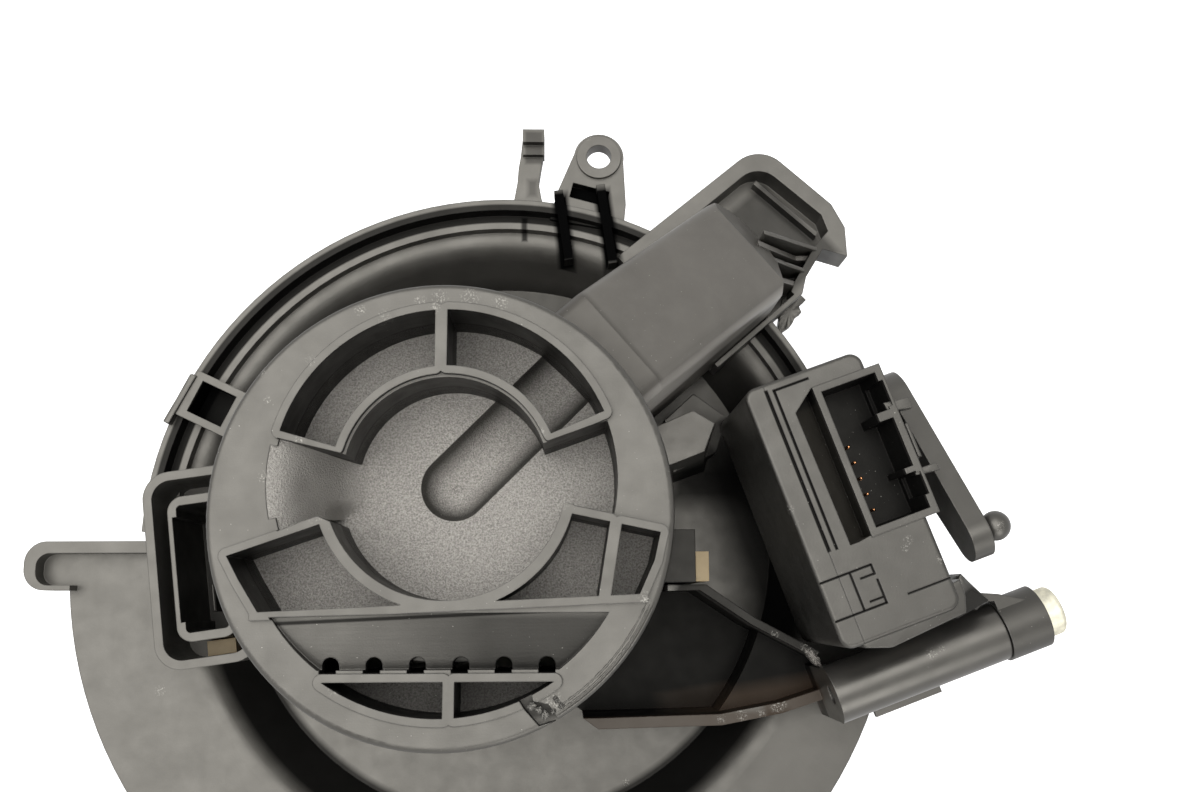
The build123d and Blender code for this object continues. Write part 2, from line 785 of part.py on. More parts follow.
def duct_plan(inset):
    """Plan of the duct with its rounded left and slanted right end corners."""
    half = duct_w / 2 - inset
    end = duct_end_s - inset
    return polygon([(20, -half), (end - 8, -half), (end - 1.5, -half + 7), (end, -half + 11), (end, half - 7),
                    (end - 1.5, half - 3.5), (end - 4, half - 1), (end - 7.5, half), (20, half)])


def duct_fins():
    """Two sloping gussets between the duct's end and the cup's corner."""
    room = prism(offset(cup_outline(cup_wall), amount=-seat_gap), duct_base_z, 60)
    fins = Part()
    for s, t, z in ((duct_end_s - 3, -0.6, 27.0), (duct_end_s - 7, -6.0, 25.0)):
        side = Plane.XZ * polygon([(0, duct_base_z), (20, duct_base_z), (20, cup_h - 3), (12, cup_h - 0.5),
                                   (0, z)])
        fins += Pos(s, t, 0) * Rot(0, 0, fin_lean) * extrude(side, amount=fin_t / 2, both=True)
    return fins & room


def duct_mouth():
    """Hole through the cup's floor and the duct's floor, where the air comes in."""
    return duct_frame(block(mouth_s0, mouth_s1, -mouth_w / 2, mouth_w / 2, -5, duct_base_z + duct_wall + 0.5))


def duct_gap():
    """Room that the rim leaves for the duct."""
    half = duct_w / 2 + 0.3
    return duct_frame(block(pot_r - 8, duct_end_s + 0.3, -half, half, duct_base_z, rim_lip_h + 6))


# Power connector
def power_connector():
    """Inner shell of the power connector with a stepped opening."""
    floor_z = plate_t - well_depth + shell_seat_h
    outer = stadium(-shell_w / 2, shell_w / 2, -shell_l / 2, shell_l / 2, 3.5)
    inner = stadium(-shell_w / 2 + plug_wall, shell_w / 2 - plug_wall,
                    -shell_l / 2 + plug_wall, shell_l / 2 - plug_wall, 1.0)
    step = Pos(-shell_w / 2 + 1.6, 0) * Rectangle(1.2, shell_l - 9)
    body = prism(outer, floor_z, shell_top) - prism(inner + step, floor_z + 3, shell_top + 1)
    for side in (-1, 1):
        y = side * blade_pitch / 2
        body -= block(-blade_t / 2, blade_t / 2, y - blade_w / 2, y + blade_w / 2, floor_z - 1, floor_z + 5)
    return plug_frame(body)


def power_terminals():
    """Two flat blades inside the power connector."""
    floor_z = plate_t - well_depth + shell_seat_h
    pair = []
    for side in (-1, 1):
        y = side * blade_pitch / 2
        blade = block(-blade_t / 2, blade_t / 2, y - blade_w / 2, y + blade_w / 2, floor_z, 13.0)
        blade = chamfer(blade.edges().group_by(Axis.Z)[-1], 0.3)
        pair.append(plug_frame(blade))
    return pair


def power_leads():
    """Two flat leads from the terminals under the pot wall and up to the brush card."""
    top = plate_t - well_depth + shell_seat_h
    pair = []
    for side in (-1, 1):
        y = side * blade_pitch / 2
        run = lead_run()
        strip = block(lead_foot_x, run, y - lead_w / 2, y + lead_w / 2, top - lead_t, top)
        strip += block(run - lead_t, run, y - lead_w / 2, y + lead_w / 2, top - lead_t, lead_top_z)
        half = lead_w / 2
        strip += block(run - lead_t, run + 12, y - half, y + half, lead_top_z - lead_t, lead_top_z)
        pair.append(plug_frame(strip) - cyl(can_r + card_overhang, -20, 50))
    return pair


def lock_lugs():
    """Two pale lugs of the motor's holding ring, beside the cap."""
    left = plug_frame(block(-3.5, 3.0, -shroud_l / 2 + plug_wall + 0.1, -shell_l / 2 - 0.3, plate_t, 9.0))
    right = block(latch_x, latch_x + 3.0, -19.2, -12.8, plate_t - well_depth, 28.5)
    return left, right


# Actuator
def actuator_outline(u0, u1):
    """Plan of a part of the actuator's body with rounded corners."""
    whole = stadium(-act_w / 2, act_w / 2, -act_l / 2, act_l / 2, act_corner_r)
    return whole & Pos((u0 + u1) / 2, 0) * Rectangle(u1 - u0, act_l + 2)


def actuator_case():
    """Main half of the actuator with its socket and its screw sleeve."""
    outline = actuator_outline(act_split_u, act_w / 2)
    body = round_top(prism(outline, act_bottom, act_top))
    body -= block(act_split_u - 1, act_w / 2 - act_wall, -act_l / 2 + act_wall, act_l / 2 - act_wall,
                  act_bottom + act_wall, socket_bottom)
    body -= block(act_split_u - 1, socket_u0 - 6.0, -act_l / 2 + act_wall, act_l / 2 - act_wall,
                  socket_bottom - 1, act_top - act_wall)
    body += socket_shroud()
    body -= socket_space()
    body -= trench() + top_lines()
    body += sleeve_arm()
    boss_end = act_w / 2 + lever_boss_h
    body += rod(lever_boss_r, act_w / 2 - act_wall, boss_end, lever_v, lever_z)
    body -= rod(lever_shaft_r + lever_shaft_gap, lever_shaft_u - 1, boss_end + 1, lever_v, lever_z)
    body -= pin_holes()
    return actuator_frame(body)


def socket_shroud():
    """Outer wall of the actuator's socket, wider than the case."""
    return block(socket_u0, socket_u1, socket_v0, socket_v1, socket_bottom, act_top + 0.6)


def socket_space():
    """Room inside the socket with its keyways."""
    room = block(socket_u0 + socket_wall, socket_u1 - socket_wall, socket_v0 + socket_wall,
                 socket_v1 - socket_wall, socket_floor, act_top + 5)
    for v0, v1 in ((14.8, 20.4), (-4.6, 0.2)):
        room += block(socket_u1 - socket_wall - 1, socket_u1 - 0.6, v0, v1, socket_floor + 2, act_top + 5)
    tab = block(socket_u1 - socket_wall - 3.0, socket_u1, 12.4, 14.2, socket_floor, act_top + 6)
    tab += block(socket_u1 - socket_wall - 2.0, socket_u1, 0.6, 1.8, socket_floor, act_top + 6)
    return room - tab


def trench():
    """Sloped recess beside the socket, pointed at its upper end."""
    left = socket_u0 - 5.0
    face = Plane.XZ * polygon([(left, act_top - 1.6), (socket_u0, act_top - 6), (socket_u0, act_top + 2),
                               (left, act_top + 2)])
    wedge = Pos(0, socket_v1 + 1, 0) * extrude(face, amount=socket_v1 - socket_v0 + 1)
    plan = polygon([(left, socket_v1 - 3.8), (socket_u0, socket_v1), (socket_u0, socket_v0 + 0.4),
                    (left + 0.4, socket_v0 - 0.3)])
    return wedge & prism(plan, act_bottom, act_top + 5)


def top_lines():
    """Thin lines cut into the actuator's top face."""
    runs = [(act_split_u, act_split_u + line_w, -8.0, 26.2), (-6.9, -6.9 + line_w, -8.6, 26.0),
            (-6.9, 1.0, 25.8, 25.8 + line_w), (-12.5, -1.4, -14.0, -14.0 + line_w),
            (-12.5, -1.2, -22.1, -22.1 + line_w), (-6.3, -6.3 + line_w, -22.0, -13.8),
            (-1.6, -1.6 + line_w, -15.9, -13.8), (-1.5, -1.5 + line_w, -22.1, -16.9),
            (-4.5, -1.4, -15.9, -15.9 + line_w), (-4.4, -1.4, -20.8, -20.8 + line_w),
            (3.4, 13.5, -22.0, -22.0 + line_w)]
    cuts = Part()
    for u0, u1, v0, v1 in runs:
        cuts += block(u0, u1, v0, v1, act_top - line_depth, act_top + 1)
    return cuts


def round_top(body):
    """Round the top edges, but not the one at the split between the halves."""
    edges = body.edges().group_by(Axis.Z)[-1]
    return fillet(edges.filter_by(lambda e: abs(e.center().X - act_split_u) > 0.01), act_edge_r)


def sleeve_arm():
    """Arm with a sleeve that the bracket screw passes through."""
    sleeve = rod(sleeve_r, tube_u1 + 0.2, sleeve_u1, tube_v, tube_z)
    top_v = tube_v + tube_r
    web = prism(polygon([(act_w / 2 - 1.5, -23.5), (tube_u1 + 1.7, top_v + 1.6), (tube_u1 + 7.5, top_v - 2.0),
                         (tube_u1 + 7.5, top_v - 6), (tube_u1 + 0.4, top_v - 6), (tube_u1 + 0.4, top_v + 0.4),
                         (act_w / 2 - 1.5, -27.0)]), tube_z - 4, tube_z + 5)
    bore = rod(screw_r + 0.1, tube_u1 - 30, tube_u1 + 30, tube_v, tube_z)
    return sleeve + web - bore


def pin_positions():
    """Places of the socket's pins along v."""
    return [pin_v0 + pin_pitch * i for i in range(pin_count)]


def pin_holes():
    """Square holes for the pins in the socket's floor."""
    holes = Part()
    half = pin_size / 2
    for v in pin_positions():
        holes += block(pin_u - half, pin_u + half, v - half, v + half, socket_bottom - 1, socket_floor + 1)
    return holes


def socket_pins():
    """Five square pins in the actuator's socket."""
    half = pin_size / 2
    pins = []
    for v in pin_positions():
        pin = block(pin_u - half, pin_u + half, v - half, v + half, pin_bottom, pin_top)
        pins.append(actuator_frame(chamfer(pin.edges().group_by(Axis.Z)[-1], 0.2)))
    return pins


def actuator_cover():
    """Second half of the actuator, a shallow lid with rounded edges."""
    outline = actuator_outline(-act_w / 2, act_split_u)
    body = round_top(prism(outline, act_bottom, act_top)) - top_lines()
    body -= block(-act_w / 2 + act_wall, act_split_u + 1, -act_l / 2 + act_wall, act_l / 2 - act_wall,
                  act_bottom + act_wall, act_top - act_wall)
    return actuator_frame(body)


def output_lever():
    """Lever with its shaft and a moulded ball, drawn flat and stood on its edge."""
    end = (-lever_len * cos(radians(lever_rise)), lever_len * sin(radians(lever_rise)))
    u0 = act_w / 2 + lever_boss_h + lever_gap
    hub = Circle(lever_hub_r)
    tip = Pos(*end) * Circle(lever_end_r)
    lean = degrees(atan2(end[1], end[0]))
    spread = degrees(atan2(lever_hub_r - lever_end_r, lever_len))
    points = []
    for sign in (1, -1):
        a = lean + sign * (90 - spread)
        points.append([polar(lever_hub_r, a), polar(lever_end_r, a, end)])
    web = polygon([points[0][0], points[0][1], points[1][1], points[1][0]])
    plane = Plane(origin=(u0, lever_v, lever_z), x_dir=(0, 1, 0), z_dir=(1, 0, 0))
    plate = extrude(plane * (hub + tip + web), amount=lever_t)
    shaft = rod(lever_shaft_r, lever_shaft_u, u0 + 0.5, lever_v, lever_z)
    ball_v = lever_v + end[0]
    ball_z = lever_z + end[1]
    neck = rod(ball_r * 0.62, u0 + lever_t - 0.5, u0 + lever_t + ball_out, ball_v, ball_z)
    ball = Pos(u0 + lever_t + ball_out, ball_v, ball_z) * Sphere(ball_r)
    return actuator_frame(plate + shaft + neck + ball)


# Bracket and its screw
def actuator_bracket():
    """Open wedge between the pot and the actuator that ends in the screw tube."""
    tube = rod(tube_r, tube_u0, tube_u1, tube_v, tube_z)
    low_v = tube_v - tube_r + 0.1
    web = block(tube_u0, 9.0, low_v, low_v + 1.4, plate_t, tube_z)
    foot = block(tube_u0, 9.0, low_v, tube_v + 3.0, plate_t, plate_t + bracket_t)
    flap = block(-3.2, 13.3, low_v - 4.2, low_v + 1.0, 6.5, 8.2)
    end_plate = block(tube_u0, tube_u0 + bracket_t, low_v, tube_v + 6.0, plate_t, tube_z)
    upper = polygon([(54.8, -19.8), (65.6, -27.2), (80.0, -34.8), (79.0, -36.2), (64.9, -28.8), (53.2, -21.0),
                     (46, -21.2), (46, -19.8)])
    lower = polygon([(27, -49.6), (30.5, -52.1), (58.6, -51.4), (72.6, -48.8), (83.0, -45.5), (82.4, -43.2),
                     (72.2, -46.4), (58.4, -48.9), (30.5, -49.6)])
    body = bracket_tray() + deep_wall(upper, bracket_wall_h) + deep_wall(lower, bracket_strip_h)
    body -= cyl(pot_r + seat_gap, -20, 80, pot_centre)
    body = body + actuator_frame(tube + web + foot + end_plate + flap)
    return body - actuator_frame(rod(tube_bore_r, tube_u0 - 20, tube_u1 + 20, tube_v, tube_z))


def bracket_tray():
    """Floor of the wedge, deep inside the well and raised over the flange."""
    outline = polygon([(40, -19.8), (54.8, -19.8), (65.6, -27.2), (81.0, -34.6), (83.0, -45.5), (72.6, -48.8),
                       (58.6, -51.4), (30.5, -52.1), (24, -47.5), (24, -40)])
    floor_z = plate_t - well_depth
    r = well_floor_r - 0.7
    top = plate_t + bracket_t
    deep = prism(outline, floor_z, floor_z + 1.5) & cyl(r, -20, 20, rim_centre)
    high = prism(outline, plate_t, top) - cyl(r - 1.5, -20, 20, rim_centre)
    step = prism(outline, floor_z, top) & ring(r, r - 1.5, -20, 20, rim_centre)
    return deep + high + step


def deep_wall(face, height):
    """Wall that stands on the flange and reaches down to the well's floor inside the well."""
    room = cyl(well_floor_r - 0.7, -20, 20, rim_centre)
    return prism(face, plate_t, plate_t + height) + (prism(face, plate_t - well_depth, plate_t + 1) & room)


def bracket_screw():
    """Long screw through the sleeve into the tube, with a round washer head."""
    shank = rod(screw_r, tube_u0 + 8, sleeve_u1, 0, 0)
    head = rod(screw_head_r, sleeve_u1, sleeve_u1 + screw_head_h, 0, 0)
    head = fillet(head.edges().filter_by(GeomType.CIRCLE).sort_by(Axis.X)[-1], 1.2)
    place = Pos(sleeve_u1 + screw_head_h, 0, 0) * Rot(0, 90, 0)
    recess = place * extrude(RegularPolygon(2.6, 6), amount=-2.4)
    return actuator_frame(Pos(0, tube_v, tube_z) * (shank + head - recess))


def write(name, *solids):
    """One file for each named piece, or for a group of like pieces."""
    shape = solids[0] if len(solids) == 1 else Compound(children=list(solids))
    export_step(shape, "parts/" + name + ".step")


os.makedirs("parts", exist_ok=True)
write("scroll_cover", scroll_cover())
write("motor_cap", motor_cap())
write("cooling_duct", cooling_duct())
write("isolator_ring", isolator_ring())
write("motor_can", motor_can())
write("magnets", *magnets())
write("fan_end_bush", bush(can_bottom - 2, can_bottom - 2 + bush_h))
write("cap_end_bush", bush(shaft_top - 1 - bush_h, shaft_top - 1))
write("motor_shaft", motor_shaft())
write("armature_core", armature_core())
write("upper_winding", winding(1))
write("lower_winding", winding(-1))
write("commutator", commutator())
write("brush_card", brush_card())
write("brushes", *brushes())
write("brush_springs", *brush_springs())
write("fan_wheel", fan_wheel())
write("fan_blades", *fan_blades())
write("fan_ring", fan_ring())
write("fan_clip", fan_clip())
write("power_connector", power_connector())
write("power_terminals", *power_terminals())
write("power_leads", *power_leads())
write("lock_lugs", *lock_lugs())
write("actuator_case", actuator_case())
write("actuator_cover", actuator_cover())
write("socket_pins", *socket_pins())
write("output_lever", output_lever())
write("actuator_bracket", actuator_bracket())
write("bracket_screw", bracket_screw())
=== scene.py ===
from math import radians

import bpy
import numpy as np
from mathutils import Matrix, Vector


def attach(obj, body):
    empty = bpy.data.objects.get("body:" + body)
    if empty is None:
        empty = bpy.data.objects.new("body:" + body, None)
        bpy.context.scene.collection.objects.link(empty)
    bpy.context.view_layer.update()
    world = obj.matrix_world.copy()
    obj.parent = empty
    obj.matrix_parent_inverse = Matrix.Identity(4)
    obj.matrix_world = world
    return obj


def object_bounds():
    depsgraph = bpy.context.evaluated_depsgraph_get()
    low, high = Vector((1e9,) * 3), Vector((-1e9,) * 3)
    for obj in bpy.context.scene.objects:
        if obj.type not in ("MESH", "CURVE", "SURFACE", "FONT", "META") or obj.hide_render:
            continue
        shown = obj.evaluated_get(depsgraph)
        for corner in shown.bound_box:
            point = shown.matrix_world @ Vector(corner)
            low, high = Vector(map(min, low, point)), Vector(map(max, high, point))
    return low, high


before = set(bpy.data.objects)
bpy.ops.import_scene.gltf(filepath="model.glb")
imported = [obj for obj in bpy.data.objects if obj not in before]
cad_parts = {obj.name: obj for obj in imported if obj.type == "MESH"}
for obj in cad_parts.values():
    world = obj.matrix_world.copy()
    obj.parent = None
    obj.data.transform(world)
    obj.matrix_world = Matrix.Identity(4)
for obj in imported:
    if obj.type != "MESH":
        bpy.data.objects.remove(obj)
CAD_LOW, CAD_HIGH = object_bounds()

bl_info = {
    "name": "Cabin Blower Motor",
    "version": (1, 0, 0),
    "blender": (4, 5, 0),
    "location": "View3D > Sidebar > Blower",
    "description": "Finishes and fine detail of a car cabin blower motor around its solid model",
    "category": "Add Mesh",
}

MM = 0.001

# Places and heights on the solid model, in millimetres and degrees
RIM_CENTRE = (8.2, -9.8)
POT_CENTRE = (-0.8, -6.3)
CAP_TOP = 62.0
CAP_FACE = 60.5
CAP_FLOOR = 42.0
DUCT_TURN = 41.0
ACTUATOR_AT = (81.3, -3.0)
ACTUATOR_TURN = 20.0
ACTUATOR_FACE = 50.0

# Tones that several finishes share: black for painted shade, a pale tone for painted light on
# level recess floors, and a dust film
BLACK = (0.003, 0.003, 0.003)
PALE_FLOOR = (0.29, 0.274, 0.252)
DUST = 0.2

# The floor under the object, in metres, and the light that the camera sees on it
FLOOR_HALF = 3.0
FLOOR_GAP = 0.0002
FLOOR_GLOW = 0.75


# Sizes and colours that a user would change
class BlowerFinish(bpy.types.PropertyGroup):
    cover_colour: bpy.props.FloatVectorProperty(
        name="Cover colour", description="Moulded black plastic of the flange, rim and well",
        subtype="COLOR", size=3, min=0.0, max=1.0, default=(0.040, 0.038, 0.034))
    cap_colour: bpy.props.FloatVectorProperty(
        name="Cap colour", description="Fine-grained black plastic of the motor cap",
        subtype="COLOR", size=3, min=0.0, max=1.0, default=(0.022, 0.021, 0.019))
    duct_colour: bpy.props.FloatVectorProperty(
        name="Duct colour", description="Satin black plastic of the cooling duct",
        subtype="COLOR", size=3, min=0.0, max=1.0, default=(0.072, 0.067, 0.060))
    actuator_colour: bpy.props.FloatVectorProperty(
        name="Actuator colour", description="Black plastic of the flap actuator",
        subtype="COLOR", size=3, min=0.0, max=1.0, default=(0.012, 0.0115, 0.0105))
    bracket_colour: bpy.props.FloatVectorProperty(
        name="Bracket colour", description="Black plastic of the bracket under the actuator",
        subtype="COLOR", size=3, min=0.0, max=1.0, default=(0.026, 0.0245, 0.0225))
    shine_tint: bpy.props.FloatVectorProperty(
        name="Shine tint", description="Warm cast of the light that the plastic mirrors",
        subtype="COLOR", size=3, min=0.0, max=1.0, default=(1.0, 0.955, 0.86))
    scuff_colour: bpy.props.FloatVectorProperty(
        name="Scuff colour", description="Pale scuffs where the plastic is rubbed or chipped",
        subtype="COLOR", size=3, min=0.0, max=1.0, default=(0.55, 0.53, 0.48))
    copper_colour: bpy.props.FloatVectorProperty(
        name="Copper colour", description="Bare copper of the socket pins and the commutator",
        subtype="COLOR", size=3, min=0.0, max=1.0, default=(0.62, 0.30, 0.14))
    edge_round: bpy.props.FloatProperty(
        name="Edge rounding", description="Radius at which moulded edges catch the light",
        subtype="DISTANCE", unit="LENGTH", min=0.0, default=0.00035)


class BlowerStage(bpy.types.PropertyGroup):
    camera_place: bpy.props.FloatVectorProperty(
        name="Camera place", description="Where the camera stands, over the motor cap",
        subtype="TRANSLATION", unit="LENGTH", size=3, default=(0.02378, -0.02414, 0.29277))
    camera_tilt: bpy.props.FloatProperty(
        name="Camera tilt", description="Turn of the camera about X from looking straight down",
        subtype="ANGLE", unit="ROTATION", default=0.172)
    camera_lean: bpy.props.FloatProperty(
        name="Camera lean", description="Turn of the camera about its own upright axis",
        subtype="ANGLE", unit="ROTATION", default=-0.026)
    key_power: bpy.props.FloatProperty(
        name="Softbox", description="Power of the large softbox overhead, a little to the left",
        unit="POWER", min=0.0, default=12.0)
    key_size: bpy.props.FloatProperty(
        name="Softbox size", description="Side of the square softbox",
        subtype="DISTANCE", unit="LENGTH", min=0.1, default=1.1)
    fill_power: bpy.props.FloatProperty(
        name="Fill light", description="Power of the soft light in front, at the right",
        unit="POWER", min=0.0, default=3.0)
    sky_strength: bpy.props.FloatProperty(
        name="Room light", description="Strength of the even light from all round",
        min=0.0, default=0.12)


def finish_values():
    """The colours and sizes that the user has set."""
    return bpy.context.scene.blower_finish


# Node building
def material(name):
    """A new material with an empty tree, its shader and its output."""
    mat = bpy.data.materials.new(name)
    mat.use_nodes = True
    tree = mat.node_tree
    tree.nodes.clear()
    out = tree.nodes.new("ShaderNodeOutputMaterial")
    shader = tree.nodes.new("ShaderNodeBsdfPrincipled")
    tree.links.new(shader.outputs[0], out.inputs[0])
    return mat, tree, shader


def put(tree, socket, value):
    """Link an output to a socket, or write a plain value on it."""
    if isinstance(value, bpy.types.NodeSocket):
        tree.links.new(value, socket)
        return
    size = len(socket.default_value) if hasattr(socket.default_value, "__len__") else 0
    if size and not hasattr(value, "__len__"):
        socket.default_value = [value] * size
    elif size == 4 and len(value) == 3:
        socket.default_value = (*value, 1.0)
    else:
        socket.default_value = value


def math_node(tree, operation, a, b=0.0, clamp=False):
    """One Math node."""
    node = tree.nodes.new("ShaderNodeMath")
    node.operation = operation
    node.use_clamp = clamp
    put(tree, node.inputs[0], a)
    put(tree, node.inputs[1], b)
    return node.outputs[0]


def times(tree, first, *others):
    """Product of values."""
    for other in others:
        first = math_node(tree, "MULTIPLY", first, other)
    return first


def vector_node(tree, operation, a, b=(0.0, 0.0, 0.0)):
    """One Vector Math node."""
    node = tree.nodes.new("ShaderNodeVectorMath")
    node.operation = operation
    put(tree, node.inputs[0], a)
    put(tree, node.inputs[1], b)
    plain = operation in ("LENGTH", "DISTANCE", "DOT_PRODUCT")
    return node.outputs["Value"] if plain else node.outputs[0]


def axes(tree, vector):
    """The X, Y and Z of a vector."""
    node = tree.nodes.new("ShaderNodeSeparateXYZ")
    put(tree, node.inputs[0], vector)
    return node.outputs[0], node.outputs[1], node.outputs[2]


def place(tree):
    """Object coordinates, in metres."""
    return tree.nodes.new("ShaderNodeTexCoord").outputs["Object"]


def upward(tree):
    """One on a level face that looks up, and nothing on an upright one."""
    return axes(tree, tree.nodes.new("ShaderNodeNewGeometry").outputs["Normal"])[2]


def noise(tree, at, scale, detail=2.0, roughness=0.5):
    """Noise value at a position, with so many features to the metre."""
    node = tree.nodes.new("ShaderNodeTexNoise")
    put(tree, node.inputs["Vector"], at)
    node.inputs["Scale"].default_value = scale
    node.inputs["Detail"].default_value = detail
    node.inputs["Roughness"].default_value = roughness
    return node.outputs["Fac"]


def ramp(tree, value, low, high, to_low=0.0, to_high=1.0):
    """A value taken from one range to another, and held at its ends."""
    node = tree.nodes.new("ShaderNodeMapRange")
    put(tree, node.inputs["Value"], value)
    node.inputs["From Min"].default_value = low
    node.inputs["From Max"].default_value = high
    node.inputs["To Min"].default_value = to_low
    node.inputs["To Max"].default_value = to_high
    return node.outputs["Result"]


def under(tree, length, limit, soft=0.5):
    """One while a length is under a limit in millimetres, fading over its soft edge."""
    return ramp(tree, length, (limit - soft) * MM, (limit + soft) * MM, 1.0, 0.0)


def blend(tree, amount, first, second):
    """Mix of two colours."""
    node = tree.nodes.new("ShaderNodeMix")
    node.data_type = "RGBA"
    put(tree, node.inputs["Factor"], amount)
    put(tree, node.inputs[6], first)
    put(tree, node.inputs[7], second)
    return node.outputs[2]


def overlay(tree, base, level, mask, colour, gloss):
    """A colour laid over the base colour under a mask, with so much of the shine left."""
    return (blend(tree, mask, base, colour),
            times(tree, level, ramp(tree, mask, 0.0, 1.0, 1.0, gloss)))


def bump(tree, height, strength, distance, normal=None):
    """Bump from a height value, on top of another normal."""
    node = tree.nodes.new("ShaderNodeBump")
    node.inputs["Strength"].default_value = strength
    node.inputs["Distance"].default_value = distance
    put(tree, node.inputs["Height"], height)
    if normal is not None:
        put(tree, node.inputs["Normal"], normal)
    return node.outputs["Normal"]


def edges(tree, radius):
    """Rounded-edge normal, and how far it leans from the face's own normal."""
    node = tree.nodes.new("ShaderNodeBevel")
    node.samples = 6
    node.inputs["Radius"].default_value = radius
    true = tree.nodes.new("ShaderNodeNewGeometry").outputs["True Normal"]
    along = vector_node(tree, "DOT_PRODUCT", node.outputs[0], true)
    return node.outputs[0], math_node(tree, "SUBTRACT", 1.0, along)


def metres(point):
    """A point or a size given in millimetres."""
    return tuple(c * MM for c in point)


def scaled(colour, factor, lift=0.0):
    """A colour made darker or lighter, and paler by the lift."""
    return tuple(c * factor + lift for c in colour)


# Masks
def spot(tree, at, centre, radius):
    """One at a point given in millimetres, falling to nothing at a radius."""
    away = vector_node(tree, "DISTANCE", at, metres(centre))
    return ramp(tree, away, radius * MM * 0.3, radius * MM, 1.0, 0.0)


def boxed(tree, at, centre, half, turn, soft):
    """One inside a box in millimetres, turned about Z by degrees and fading over its soft edge.

    The soft edge is one width for all three axes, or one for each.
    """
    soft = np.full(3, soft) if np.isscalar(soft) else np.asarray(soft, float)
    rel = vector_node(tree, "SUBTRACT", at, metres(centre))
    if turn:
        spin = tree.nodes.new("ShaderNodeVectorRotate")
        spin.rotation_type = "Z_AXIS"
        spin.inputs["Angle"].default_value = -radians(turn)
        put(tree, spin.inputs["Vector"], rel)
        rel = spin.outputs[0]
    rel = vector_node(tree, "SUBTRACT", vector_node(tree, "ABSOLUTE", rel), metres(half))
    x, y, z = axes(tree, vector_node(tree, "MULTIPLY", rel, tuple(1.0 / (soft * MM))))
    far = math_node(tree, "MAXIMUM", math_node(tree, "MAXIMUM", x, y), z)
    return ramp(tree, far, -1.0, 1.0, 1.0, 0.0)


def ringed(tree, at, centre, inner, outer, top, soft, none_y, full_y):
    """One inside a ring about an upright axis and below a height, in millimetres.

    Along Y it grows from nothing at none_y to all at full_y.
    """
    x, y, z = axes(tree, vector_node(tree, "SUBTRACT", at, metres((*centre, 0.0))))
    flat = tree.nodes.new("ShaderNodeCombineXYZ")
    tree.links.new(x, flat.inputs[0])
    tree.links.new(y, flat.inputs[1])
    away = vector_node(tree, "LENGTH", flat.outputs[0])
    low, high = sorted((none_y - centre[1], full_y - centre[1]))
    ends = (0.0, 1.0) if full_y > none_y else (1.0, 0.0)
    return times(tree, ramp(tree, away, (inner - soft) * MM, (inner + soft) * MM),
                 under(tree, away, outer, soft), under(tree, z, top, soft),
                 ramp(tree, y, low * MM, high * MM, *ends))


def marks(tree, at, spots, lean):
    """Broken pale marks round points, strongest on edges."""
    total = 0.0
    for centre, radius in spots:
        total = math_node(tree, "ADD", total, spot(tree, at, centre, radius), clamp=True)
    broken = ramp(tree, noise(tree, at, 2300.0, 4.0, 0.75), 0.52, 0.62)
    return times(tree, total, broken, ramp(tree, lean, 0.01, 0.12, 0.55, 1.0))


def patch(centre, half, turn=0.0, soft=0.3, colour=BLACK, amount=1.0, gloss=0.0):
    """Box of another tone for moulded(): how much of its colour shows, and how much shine stays."""
    return centre, half, turn, soft, colour, amount, gloss


def scuffs_at(z, *places):
    """Scuffs at one height, each given as its x, its y and its radius in millimetres."""
    return [((x, y, z), radius) for x, y, radius in places]


# Finishes
def relief(tree, at, normal, grain, grain_size, coarse_below, streak):
    """Fine grain, a coarser blasted grain below a height, and long streaks along X."""
    fine = noise(tree, at, 1000.0 / grain_size, 2.0, 0.6)
    normal = bump(tree, noise(tree, at, 60.0), 0.25, 0.0004, normal)
    normal = bump(tree, fine, grain, 0.00004, normal)
    if streak:
        drawn_out = vector_node(tree, "MULTIPLY", at, (0.05, 1.0, 1.0))
        thin = noise(tree, drawn_out, 1400.0, 3.0, 0.6)
        normal = bump(tree, thin, streak, 0.00004, normal)
    if coarse_below is None:
        return normal
    deep = under(tree, axes(tree, at)[2], coarse_below)
    return bump(tree, times(tree, noise(tree, at, 2600.0, 3.0, 0.65), deep), 1.0, 0.0003, normal)


